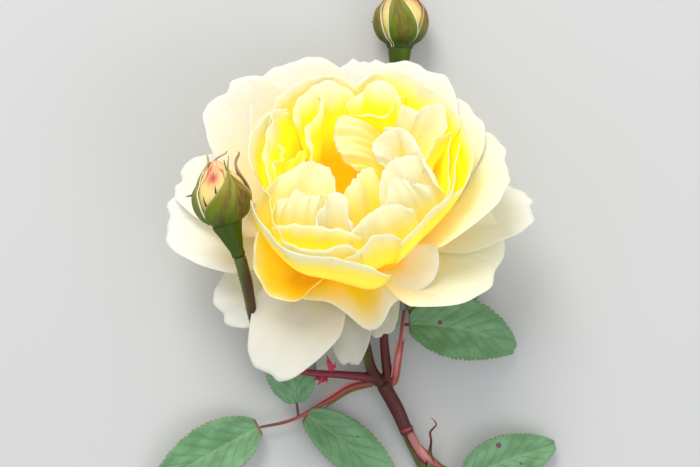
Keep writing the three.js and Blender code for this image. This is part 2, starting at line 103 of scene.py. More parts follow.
def unit(vector):
    return vector / np.linalg.norm(vector)


def sheetPart(form, pointAt, seed, fields):
    # a closed thin sheet over u from -1 to 1 and v from 0 to 1, thinner towards its free edges; the form
    # holds its columns, rows and thickness, and the fields are numbers that it carries to its material
    u, v = np.meshgrid(np.linspace(-1, 1, form["columns"] + 1), np.linspace(0, 1, form["rows"] + 1))
    wide, high = u.shape[1], u.shape[0]
    u, v = u.ravel(), v.ravel()
    half = 0.5 * form["thickness"] * (1 - 0.7 * np.maximum(np.abs(u), v) ** 10)
    inner = np.stack(pointAt(u, v, half), axis=1)
    outer = np.stack(pointAt(u, v, -half), axis=1)
    count = u.size
    at = np.arange(count).reshape(high, wide)
    a, b, c, d = at[:-1, :-1].ravel(), at[:-1, 1:].ravel(), at[1:, 1:].ravel(), at[1:, :-1].ravel()
    front = np.stack([a, b, c, d], axis=1)
    loop = np.concatenate([at[0, :], at[1:, -1], at[-1, -2::-1], at[-2:0:-1, 0]])
    after = np.roll(loop, -1)
    rim = np.stack([after, loop, loop + count, after + count], axis=1)
    faces = np.concatenate([front, front[:, ::-1] + count, rim])
    values = {"across": np.tile(u, 2), "along": np.tile(v, 2), "outerFace": np.repeat([0.0, 1.0], count)}
    for name, value in {"seed": noiseSeed(seed), **fields}.items():
        values[name] = np.full(2 * count, float(value))
    return {"verts": np.concatenate([inner, outer]), "faces": faces, "values": values}


def turnOutward(part):  # turns the faces round if they point inwards
    verts, faces = part["verts"], part["faces"]
    a, b, c, d = (verts[faces[:, i]] for i in range(4))
    volume = np.einsum("ij,ij->", a, np.cross(b, c)) + np.einsum("ij,ij->", a, np.cross(c, d))
    if volume < 0:
        part["faces"] = faces[:, ::-1]


def joined(parts):  # the points and faces of several parts; a face that names a corner twice is a triangle
    starts = np.cumsum([0] + [len(part["verts"]) for part in parts])
    verts = np.concatenate([part["verts"] for part in parts])
    faces = np.concatenate([part["faces"] + start for part, start in zip(parts, starts)])
    return verts, [[i for n, i in enumerate(face) if i != face[n - 1]] for face in faces.tolist()]


def buildPiece(name, parts, material, slot, *nodes):
    # joins parts given in millimetres into one smooth mesh that rides on the branch
    for part in parts:
        turnOutward(part)
    verts, faces = joined(parts)
    mesh = bpy.data.meshes.new(name)
    mesh.from_pydata(((verts + standAt) * mm).tolist(), [], faces)
    for key in sorted({key for part in parts for key in part["values"]}):
        value = np.concatenate([part["values"].get(key, np.zeros(len(part["verts"]))) for part in parts])
        mesh.attributes.new(key, "FLOAT", "POINT").data.foreach_set("value", value)
    mesh.shade_smooth()
    mesh.materials.append(material)
    piece = bpy.data.objects.new(name, mesh)
    bpy.context.scene.collection.objects.link(piece)
    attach(piece, "root")
    for node in nodes:
        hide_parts(node)
    print("made", name, len(verts), "points")


def pieceName(node, ending):
    return node.replace("_", "") + ending


studio = {
    "eyeHeight": 550.0,  # mm above the floor, over the middle of the picture
    "lens": 85.7,
    "skyStrength": 0.72,
    "skyTint": (0.93, 0.96, 1, 1),
    "floorSize": 6.0,
    "floorGrey": 0.55,
    "floorRoughness": 0.8,
    "exposure": 0.2,
    # each lamp's name, place from the middle, size, power and tint; metres and watts
    "lamps": [
        ("mainLight", (-0.25, 0.8, 0.8), 0.6, 7.5, (1, 0.98, 0.94)),
        ("fillLight", (0.7, -0.5, 0.8), 0.7, 2.2, (0.95, 0.97, 1)),
    ],
}


def buildStudio():
    scene = bpy.context.scene
    middle = Vector((standAt * mm).tolist())
    camera = bpy.data.objects.new("camera", bpy.data.cameras.new("camera"))
    camera.location = middle + Vector((0, 0, studio["eyeHeight"] * mm))
    camera.data.lens = studio["lens"]
    camera.data.clip_start = 0.01
    scene.collection.objects.link(camera)
    scene.camera = camera

    bpy.ops.mesh.primitive_plane_add(size=studio["floorSize"], location=(0, 0, 0))
    floor = bpy.context.object
    floor.name = "floor"
    paint = bpy.data.materials.new("floorPaint")
    paint.use_nodes = True
    shader = paint.node_tree.nodes["Principled BSDF"]
    grey = studio["floorGrey"]
    shader.inputs["Base Color"].default_value = (grey, grey, grey * 0.98, 1)
    shader.inputs["Roughness"].default_value = studio["floorRoughness"]
    floor.data.materials.append(paint)

    world = bpy.data.worlds.new("sky")
    world.use_nodes = True
    world.node_tree.nodes["Background"].inputs["Color"].default_value = studio["skyTint"]
    world.node_tree.nodes["Background"].inputs["Strength"].default_value = studio["skyStrength"]
    scene.world = world

    for name, place, size, power, tint in studio["lamps"]:
        light = bpy.data.lights.new(name, "AREA")
        light.shape, light.size, light.energy, light.color = "DISK", size, power, tint
        lamp = bpy.data.objects.new(name, light)
        lamp.location = middle + Vector(place)
        lamp.rotation_euler = (middle - lamp.location).to_track_quat("-Z", "Y").to_euler()
        scene.collection.objects.link(lamp)

    scene.view_settings.view_transform = "Standard"
    scene.view_settings.exposure = studio["exposure"]
    print("studio ready")


buildStudio()


def addNode(tree, kind, inputs=None, **settings):
    made = tree.nodes.new(kind)
    for key, value in settings.items():
        setattr(made, key, value)
    for key, value in (inputs or {}).items():
        socket = made.inputs[key]
        if isinstance(value, bpy.types.NodeSocket):
            tree.links.new(value, socket)
        else:
            socket.default_value = value
    return made


def mathNode(tree, operation, *values, clamp=False):
    made = addNode(tree, "ShaderNodeMath", dict(enumerate(values)), operation=operation, use_clamp=clamp)
    return made.outputs[0]


def times(tree, a, b):
    return mathNode(tree, "MULTIPLY", a, b)


def larger(tree, a, b):
    return mathNode(tree, "MAXIMUM", a, b)


def swing(tree, noise, width):  # a noise from 0 to 1, made to swing about 0 over this width in all
    return times(tree, mathNode(tree, "SUBTRACT", noise, 0.5), width)


def rangeNode(tree, value, low, high, toLow=0.0, toHigh=1.0):
    made = addNode(tree, "ShaderNodeMapRange", {
        "Value": value, "From Min": low, "From Max": high, "To Min": toLow, "To Max": toHigh,
    }, interpolation_type="SMOOTHSTEP")
    return made.outputs[0]


def mixColour(tree, amount, first, second, blend="MIX"):
    inputs = {0: amount, 6: first, 7: second}  # the mix node's own numbers for its colour sockets
    return addNode(tree, "ShaderNodeMix", inputs, data_type="RGBA", blend_type=blend).outputs[2]


def noiseNode(tree, vector, scale, detail=3.0, roughness=0.5):
    made = addNode(tree, "ShaderNodeTexNoise", {
        "Vector": vector, "Scale": scale, "Detail": detail, "Roughness": roughness,
    })
    return made.outputs["Fac"]


def combine(tree, x, y, z=0.0):
    return addNode(tree, "ShaderNodeCombineXYZ", {0: x, 1: y, 2: z}).outputs[0]


def fieldNode(tree, name):
    return addNode(tree, "ShaderNodeAttribute", attribute_name=name).outputs["Fac"]


def newGroup(name, inputs, outputs):
    # inputs and outputs map a socket's name to its default: a number, a colour, or None for a number that
    # only comes out
    tree = bpy.data.node_groups.new(name, "ShaderNodeTree")
    for sockets, direction in ((inputs, "INPUT"), (outputs, "OUTPUT")):
        for label, default in sockets.items():
            kind = "NodeSocketColor" if isinstance(default, tuple) else "NodeSocketFloat"
            socket = tree.interface.new_socket(label, in_out=direction, socket_type=kind)
            if default is not None:
                socket.default_value = default
    start = tree.nodes.new("NodeGroupInput")
    end = tree.nodes.new("NodeGroupOutput")
    return tree, start.outputs, end.inputs


def buildMaterial(name, group, look, colours=None):
    # a material whose colour and relief come from a skin group, which reads the fields that the mesh carries
    material = bpy.data.materials.new(name)
    material.use_nodes = True
    tree = material.node_tree
    shader = tree.nodes["Principled BSDF"]
    for label, value in look["finish"].items():
        shader.inputs[label].default_value = value
    inputs = {label: fieldNode(tree, field) for label, field in look["fields"].items()}
    skin = addNode(tree, "ShaderNodeGroup", {**inputs, **(colours or {})}, node_tree=group).outputs
    tree.links.new(skin["Colour"], shader.inputs["Base Color"])
    # painted light: a skin's Glow goes out as emission
    if "Glow" in skin:
        tree.links.new(skin["Glow"], shader.inputs["Emission Color"])
    relief, depth = look["relief"]
    bump = addNode(tree, "ShaderNodeBump", {
        "Height": skin["Height"], "Strength": relief, "Distance": depth * mm,
    })
    tree.links.new(bump.outputs[0], shader.inputs["Normal"])
    if "translucency" in look:
        through = addNode(tree, "ShaderNodeBsdfTranslucent", {"Color": skin["Colour"]})
        blend = addNode(tree, "ShaderNodeMixShader", {
            0: look["translucency"], 1: shader.outputs[0], 2: through.outputs[0],
        })
        tree.links.new(blend.outputs[0], tree.nodes["Material Output"].inputs["Surface"])
    print("mixed", name)
    return material


def petalSkinGroup():
    # pale at the rim and golden towards the claw; Gold is how far along the yellow reaches, and Sunk, how
    # deep a place lies in the cup, brings the yellow and then the orange on by itself
    tree, given, result = newGroup("petalSkin", {
        "Across": 0.0, "Along": 0.0, "Tone": 0.0, "Gold": 0.5, "Sunk": 0.0, "Outer Face": 0.0, "Seed": 0.0,
        "Dusk": 0.0, "Painted Shade Tint": (0.44, 0.43, 0.35, 1), "Pink": 0.0, "Warmth": 0.0,
        "Claw": (1.0, 0.58, 0.01, 1), "Body": (1.0, 0.92, 0.03, 1),
        "Rim": (0.94, 0.945, 0.9, 1), "Heart Rim": (1.0, 0.985, 0.62, 1), "Back": (1.0, 0.8, 0.12, 1),
        "Vein Tint": (0.9, 0.62, 0.3, 1), "Vein Amount": 0.16, "Blush": 0.0,
        "Blush Tint": (0.66, 0.06, 0.1, 1),
    }, {"Colour": (0.0, 0.0, 0.0, 1), "Glow": (0.0, 0.0, 0.0, 1), "Height": None})
    along, sunk = given["Along"], given["Sunk"]
    gold = mathNode(tree, "MULTIPLY_ADD", given["Outer Face"], 0.4, given["Gold"])
    place = combine(tree, given["Across"], along, given["Seed"])
    drift = swing(tree, noiseNode(tree, place, 2.2, 2.0), 0.3)
    reach = mathNode(tree, "ADD", along, drift)
    goldFrom = mathNode(tree, "SUBTRACT", gold, 0.32)
    goldTo = mathNode(tree, "ADD", gold, 0.14)
    yellow = mathNode(tree, "SUBTRACT", 1.0, rangeNode(tree, reach, goldFrom, goldTo))
    depth = mathNode(tree, "MULTIPLY_ADD", drift, 0.5, sunk)
    yellow = larger(tree, yellow, rangeNode(tree, depth, 0.02, 0.34))
    clawTo = times(tree, gold, 0.6)
    warm = mathNode(tree, "SUBTRACT", 1.0, rangeNode(tree, reach, 0.0, clawTo))
    warm = larger(tree, warm, rangeNode(tree, depth, 0.4, 0.95))
    warm = larger(tree, warm, times(tree, yellow, given["Warmth"]))
    rim = mixColour(tree, given["Tone"], given["Rim"], given["Heart Rim"])
    skin = mixColour(tree, yellow, rim, given["Body"])
    skin = mixColour(tree, warm, skin, given["Claw"])
    backed = times(tree, given["Outer Face"], mathNode(tree, "MULTIPLY_ADD", yellow, 0.5, 0.15))
    skin = mixColour(tree, backed, skin, given["Back"])
    thinEdge = times(tree, rangeNode(tree, along, 0.955, 0.99, 0.0, 0.6),
                     rangeNode(tree, sunk, 0.1, 0.5, 1.0, 0.2))
    skin = mixColour(tree, thinEdge, skin, rim)
    # painted shade: petals that hang down out of the light are mixed towards a dim grey
    skin = mixColour(tree, given["Dusk"], skin, given["Painted Shade Tint"])
    # veins fan out along the petal, so they are stretched in Along and fine in Across
    wobble = swing(tree, noiseNode(tree, place, 6.0), 0.12)
    veinPlace = combine(tree, mathNode(tree, "ADD", given["Across"], wobble),
                        times(tree, along, 0.09), given["Seed"])
    threads = noiseNode(tree, veinPlace, 26.0, 4.0, 0.65)
    vein = rangeNode(tree, threads, 0.52, 0.7)
    faded = times(tree, vein, given["Vein Amount"])
    skin = mixColour(tree, faded, skin, given["Vein Tint"])
    away = mathNode(tree, "ABSOLUTE", given["Across"])
    flecks = rangeNode(tree, noiseNode(tree, place, 3.0, 4.0, 0.6), 0.5, 0.64)
    flecks = times(tree, flecks, rangeNode(tree, along, 0.5, 0.82))
    edging = times(tree, rangeNode(tree, away, 0.95, 1.0), rangeNode(tree, along, 0.55, 0.8))
    flecks = larger(tree, flecks, larger(tree, edging, rangeNode(tree, along, 0.97, 1.0)))
    pink = times(tree, given["Pink"], rangeNode(tree, noiseNode(tree, place, 7.0, 3.0), 0.3, 0.6, 0.4, 1.0))
    blush = larger(tree, pink, times(tree, flecks, given["Blush"]))
    skin = mixColour(tree, blush, skin, given["Blush Tint"])
    height = mathNode(tree, "MULTIPLY_ADD", threads, 0.5, noiseNode(tree, place, 9.0, 3.0))
    # painted light: the petal glows in its own colour, most deep in the cup, as if lit through the thin
    # petals
    lit = mixColour(tree, rangeNode(tree, sunk, 0.03, 0.5, 0.1, 1.0), (0.0, 0.0, 0.0, 1), skin)
    tree.links.new(skin, result["Colour"])
    tree.links.new(lit, result["Glow"])
    tree.links.new(height, result["Height"])
    return tree


# in a look, fields pairs the skin group's inputs with the values kept on the mesh, finish sets the shader,
# and relief is the bump's strength and its depth in mm
petalLook = {
    "fields": {"Across": "across", "Along": "along", "Tone": "tone", "Gold": "gold", "Sunk": "sunk",
               "Outer Face": "outerFace", "Seed": "seed", "Dusk": "dusk", "Pink": "pink", "Warmth": "warmth"},
    # Emission Strength is the strength of the petals' painted glow
    "finish": {"Roughness": 0.55, "Specular IOR Level": 0.25, "Sheen Weight": 0.05, "Sheen Roughness": 0.4,
               "Emission Strength": 0.3},
    "relief": (0.4, 0.4),
    "translucency": 0.35,
}
petalSkin = petalSkinGroup()
petalPaint = buildMaterial("petalPaint", petalSkin, petalLook)


bloomForm = {
    "tilt": 30.0,  # degrees its axis leans from straight up towards +Y
    "seat": (0.0, -0.5, 24.0),
    "rimMiddle": (17.5, 55.2),  # y and z of the middle of the cup's rim
    "thickness": 0.45,
    "crinkle": 0.35,
    "nibble": 0.012,  # how far a rim is nibbled, as a share of the petal's length
    "clawShare": 0.26,  # a petal's width at its claw, as a share of its widest
    "profileSteps": 24,
    "columns": 34,
    "rows": 32,
    "depth": 26.0,  # how far below the rim the cup's orange bottom lies
}

petalDefaults = {
    "seat": (3.0, 1.0), "cup": 34.0, "notch": 0.03, "shoulder": 0.42, "wave": 0.8, "waves": 5.0, "phase": 0.0,
    "roll": 0.0, "tuck": 2.0, "twist": 0.0, "tone": 0.5, "ruffle": 0.5, "gold": 0.45, "dusk": 0.0,
}


def onBloom(x, y, z):  # from the bloom's own axes to the branch's
    tilt = math.radians(bloomForm["tilt"])
    seat = bloomForm["seat"]
    return (x + seat[0], seat[1] + y * math.cos(tilt) + z * math.sin(tilt),
            seat[2] + z * math.cos(tilt) - y * math.sin(tilt))


def offBloom(x, y, z):  # and back
    tilt = math.radians(bloomForm["tilt"])
    seat = bloomForm["seat"]
    return (x - seat[0], (y - seat[1]) * math.cos(tilt) - (z - seat[2]) * math.sin(tilt),
            (z - seat[2]) * math.cos(tilt) + (y - seat[1]) * math.sin(tilt))


def petalProfile(petal):
    # the petal's midline from the bloom's axis: its lean goes from the claw's through the middle's to the
    # rim's
    claw, middle, rim = (math.radians(lean) for lean in petal["lean"])
    steps = bloomForm["profileSteps"]

    def leanAt(t):
        return claw * (1 - t) * (1 - 2 * t) + 4 * middle * t * (1 - t) + rim * t * (2 * t - 1)

    centres = (np.arange(steps) + 0.5) / steps
    step = petal["length"] / steps
    reach = petal["seat"][0] + np.concatenate([[0], np.cumsum(np.sin(leanAt(centres)) * step)])
    height = petal["seat"][1] + np.concatenate([[0], np.cumsum(np.cos(leanAt(centres)) * step)])
    marks = np.linspace(0, 1, steps + 1)
    return marks, reach, height, leanAt(marks)


def petalPart(row, seed):
    petal = {**petalDefaults, **row}
    marks, reach, height, leans = petalProfile(petal)
    crinkle = ripples(seed, 6, 3, 11)
    ruffle = ripples(seed + 500, 3, 9, 17)
    nibble = ripples(seed + 900, 4, 8, 30)

    def pointAt(u, v, lift):
        edge = 1 - petal["shoulder"] * np.abs(u) ** 2.6 - petal["notch"] * np.exp(-((u / 0.2) ** 2))
        edge = edge + bloomForm["nibble"] * rippleAt(nibble, u, 0 * u)
        t = v * edge
        r = np.interp(t, marks, reach)
        h = np.interp(t, marks, height)
        lean = np.interp(t, marks, leans)
        narrow = bloomForm["clawShare"]
        width = petal["halfWidth"] * (narrow + (1 - narrow) * ease(t / 0.62))
        turn = u * width / petal["cup"]
        wave = petal["wave"] * np.sin(petal["waves"] * u + petal["phase"]) * t ** 3
        wave = wave + petal["ruffle"] * rippleAt(ruffle, u, t) * t ** 4
        wave = wave + bloomForm["crinkle"] * rippleAt(crinkle, u, t) * ease(t / 0.4)
        roll = petal["roll"] * np.abs(u) ** 3 * t ** 2
        inward = petal["cup"] * (1 - np.cos(turn)) + petal["tuck"] * u * t + wave - roll + lift * np.cos(turn)
        sideways = petal["cup"] * np.sin(turn) - lift * np.sin(turn)
        bearing = np.radians(petal["bearing"] + petal["twist"] * t)
        radial = r - np.cos(lean) * inward
        x = radial * np.cos(bearing) + sideways * np.sin(bearing)
        y = radial * np.sin(bearing) - sideways * np.cos(bearing)
        return onBloom(x, y, h + np.sin(lean) * inward)

    return sheetPart(bloomForm, pointAt, seed, {key: petal[key] for key in ("tone", "gold", "dusk")})


# a spanned petal goes from its claw to a rim drawn through a few places, each seen from straight above:
# x, y and how far it lies below the plane of the cup's rim; rise and over are the petal's lean and its
# pull in mm where it leaves the claw and where it meets the rim
spanDefaults = {
    "claw": (5.0, 3.0), "clawWidth": 3.0, "rise": (75, 30), "over": (-40, 25), "fan": 25.0, "shoulder": 0.1,
    "pleats": 0.0, "pleatDepth": 0.0, "ruffle": 0.5, "wave": 0.6, "waves": 4.0, "phase": 0.0, "crumple": 1.0,
    "tone": 0.8, "gold": 0.5, "goldLean": 0.0, "warmth": 0.0, "sunken": 1.0,
}


def rimPlane(y):  # the height of the plane of the cup's rim
    middleY, middleZ = bloomForm["rimMiddle"]
    return middleZ - math.tan(math.radians(bloomForm["tilt"])) * (y - middleY)


def rimPlace(place):
    x, y, sink = place
    return offBloom(x, y, rimPlane(y) - sink)


def spannedPart(row, seed):
    petal = {**spanDefaults, **row}
    rim, _ = smoothPath([rimPlace(place) for place in petal["rim"]], 121)
    bearing = math.radians(petal["bearing"])
    radius, height = petal["claw"]
    claw = np.array([math.cos(bearing) * radius, math.sin(bearing) * radius, height])
    clawSide = np.array([-math.sin(bearing), math.cos(bearing), 0]) * petal["clawWidth"]
    hand = 1.0 if (rim[-1] - rim[0]) @ clawSide >= 0 else -1.0  # which way round its rim is drawn
    crinkle = ripples(seed, 6, 3, 9)
    ruffle = ripples(seed + 500, 3, 8, 15)
    nibble = ripples(seed + 900, 4, 8, 30)

    def spot(u, v):
        edge = 1 - petal["shoulder"] * np.abs(u) ** 3 + bloomForm["nibble"] * rippleAt(nibble, u, 0 * u)
        t = np.minimum(v * edge, 1.05)[:, None]
        head = readCurve(rim, u, start=-1)
        foot = claw + clawSide * hand * u[:, None]
        turn = bearing + hand * np.radians(petal["fan"]) * u
        out = np.stack([np.cos(turn), np.sin(turn), 0 * u], axis=-1)
        pulls = []
        for lean, pull in (petal["rise"], petal["over"]):
            pulls.append((out * math.sin(math.radians(lean)) + [0, 0, math.cos(math.radians(lean))]) * pull)
        rise, over = (t**3 - 2 * t**2 + t) * pulls[0], (t**3 - t**2) * pulls[1]
        return (2 * t**3 - 3 * t**2 + 1) * foot + rise + (3 * t**2 - 2 * t**3) * head + over

    def pointAt(u, v, lift):
        step = 1e-3
        across = spot(np.minimum(u + step, 1), v) - spot(np.maximum(u - step, -1), v)
        lengthwise = spot(u, np.minimum(v + step, 1)) - spot(u, np.maximum(v - step, 0))
        normal = np.cross(lengthwise, across) * hand
        normal /= np.linalg.norm(normal, axis=1)[:, None]
        wave = petal["wave"] * np.sin(petal["waves"] * u + petal["phase"]) * v**2
        wave = wave + petal["ruffle"] * rippleAt(ruffle, u, v) * v**4
        wave = wave + bloomForm["crinkle"] * petal["crumple"] * rippleAt(crinkle, u, v) * ease(v / 0.4)
        wave = wave + petal["pleatDepth"] * np.cos(math.pi * petal["pleats"] * u) * ease(v / 0.7)
        place = spot(u, v) + normal * (wave + lift)[:, None]
        return onBloom(place[:, 0], place[:, 1], place[:, 2])

    part = sheetPart(bloomForm, pointAt, seed, {key: petal[key] for key in ("tone", "gold", "warmth")})
    values, verts = part["values"], part["verts"]
    depth = rimPlane(verts[:, 1]) - verts[:, 2]
    values["sunk"] = np.clip(depth / bloomForm["depth"], 0, 1) * petal["sunken"]
    values["gold"] = values["gold"] + petal["goldLean"] * values["across"]
    return part


def petalRows(keys, rows):
    return [dict(zip(keys, row)) for row in rows]


# outer petals: bearing round the bloom from +X, length, half width, lean, cup radius, how lemon the rim is
# and how much painted shade greys a petal that hangs down in shade
guardPetals = petalRows(("bearing", "length", "halfWidth", "lean", "cup", "tone", "dusk"), [
    (164, 55, 16, (72, 84, 88), 34, 0),
    (177, 56, 20, (74, 90, 92), 60, 0),
    (139, 58.5, 22, (76, 58, 62), 34, 0.05),
    (113, 56, 23, (78, 58, 64), 34, 0.05),
    (84, 54.2, 16, (79, 61, 67), 34, 0),
    (61, 56, 23, (76, 56, 62), 34, 0.05),
    (35, 53.5, 20, (74, 54, 58), 34, 0.2),
    (9, 55, 24, (74, 52, 64), 34, 0.4),
    (4, 56, 15, (74, 82, 86), 60, 0.1),
    (-21, 47, 25, (76, 80, 90), 50, 0.35),
    (241, 51, 15, (84, 100, 98), 50, 0, 0.3),
    (211, 46, 14, (86, 104, 104), 50, 0, 0.12),
    (270, 40, 8, (90, 110, 112), 40, 0, 0.6),
    (290, 32, 9, (94, 116, 120), 40, 0.3, 0.6),
])

apronPetals = {
    "frontLeftApron": {
        "rim": ((-30, 0.5, 7), (-28, -11, 18.5), (-23.5, -19.5, 28), (-15.5, -20.5, 27.5), (-10, -15, 21)),
        "bearing": 236, "rise": (88, 40), "over": (60, 30), "fan": 20, "tone": 0.3, "gold": 1.12,
        "warmth": 0.4, "sunken": 0},
    "frontApron": {
        "rim": ((-24.5, -19, 34), (-16.5, -21, 35), (-4.5, -22, 36.5), (6.5, -30, 45.5), (14.5, -21, 35),
                (27, -14, 26.5), (28.5, -5.5, 16.5)),
        "bearing": 280, "rise": (84, 40), "over": (105, 34), "fan": 45, "tone": 0.1, "gold": 0.88,
        "goldLean": -0.35, "warmth": 0.45, "sunken": 0},
}

cupPetals = {
    "cupFront": {"rim": ((-30, 10, 0), (-24.5, 2, 0), (-15.5, -5.5, 0), (-1.5, -8, 1), (12, -11.5, 4)),
        "bearing": 238, "rise": (92, 62), "over": (-5, 30), "fan": 22, "shoulder": 0.02, "tone": 0.3,
        "sunken": 0.8},
    "cupFrontRight": {"rim": ((-4, -8.5, 5), (1.5, -5, 2), (8.5, -0.5, 0), (15.5, 0, 1)), "bearing": 285,
        "rise": (88, 54), "over": (-10, 30), "fan": 20, "tone": 0.4, "sunken": 0.5},
    "cupRight": {"rim": ((15, -1.5, 0), (23.5, 7, 0), (30.5, 13, 0), (32, 22, 0), (33, 30, 1)),
        "bearing": 330, "rise": (92, 58), "over": (-5, 30), "fan": 28, "tone": 0.4},
    "cupFarRight": {"rim": ((28, 10, 2), (34, 15.5, 1), (37, 23.5, 0), (36, 32, 0), (32.5, 39, 1)),
        "bearing": 350, "rise": (92, 58), "over": (5, 28), "fan": 30, "tone": 0.35},
    "cupLeft": {"rim": ((-30.5, 19.5, 0), (-30, 28, 0), (-26.5, 36, 0), (-19.5, 40, 1)), "bearing": 158,
        "rise": (80, 50), "over": (30, 22), "fan": 25, "tone": 0.5, "gold": 0.8},
    "cupTopLeft": {"rim": ((-26.5, 33.5, 0), (-21.5, 41.5, 0), (-13.5, 47.5, 0), (-4.5, 49.5, 0), (3, 46, 1)),
        "bearing": 122, "rise": (82, 52), "over": (25, 26), "fan": 28, "tone": 0.45},
    "cupTopRight": {"rim": ((0.5, 47, 1), (11, 50.5, 0), (21.5, 47, 0), (30.5, 41, 0), (35, 34, 1)),
        "bearing": 48, "rise": (84, 54), "over": (25, 26), "fan": 30, "tone": 0.45},
    "rightInner": {"rim": ((21.5, 3.5, 3), (27.5, 10.5, 2), (30, 20.5, 2), (30, 32.5, 3)), "bearing": 345,
        "rise": (86, 54), "over": (-8, 28), "fan": 25, "tone": 0.6},
    "leftInner": {"rim": ((-19, -1.5, 2), (-23, 6.5, 2), (-26, 16, 2)), "bearing": 200, "rise": (85, 50),
        "over": (-5, 25), "fan": 20, "tone": 0.6},
    "frontInner": {"rim": ((-22.5, 4, 1), (-14.5, 3, 1), (-6, 1.5, 1), (3.5, 1.5, 1)), "bearing": 255,
        "rise": (82, 55), "over": (-35, 30), "fan": 20, "tone": 0.6},
    "frontLip": {"rim": ((-20.5, 0, 0), (-14.5, -3.5, 0), (-7, -5, 0), (-1.5, -3, 0), (3.5, -3.5, 0)),
        "bearing": 258, "rise": (84, 55), "over": (-15, 28), "fan": 20, "tone": 0.5, "sunken": 0.6},
}

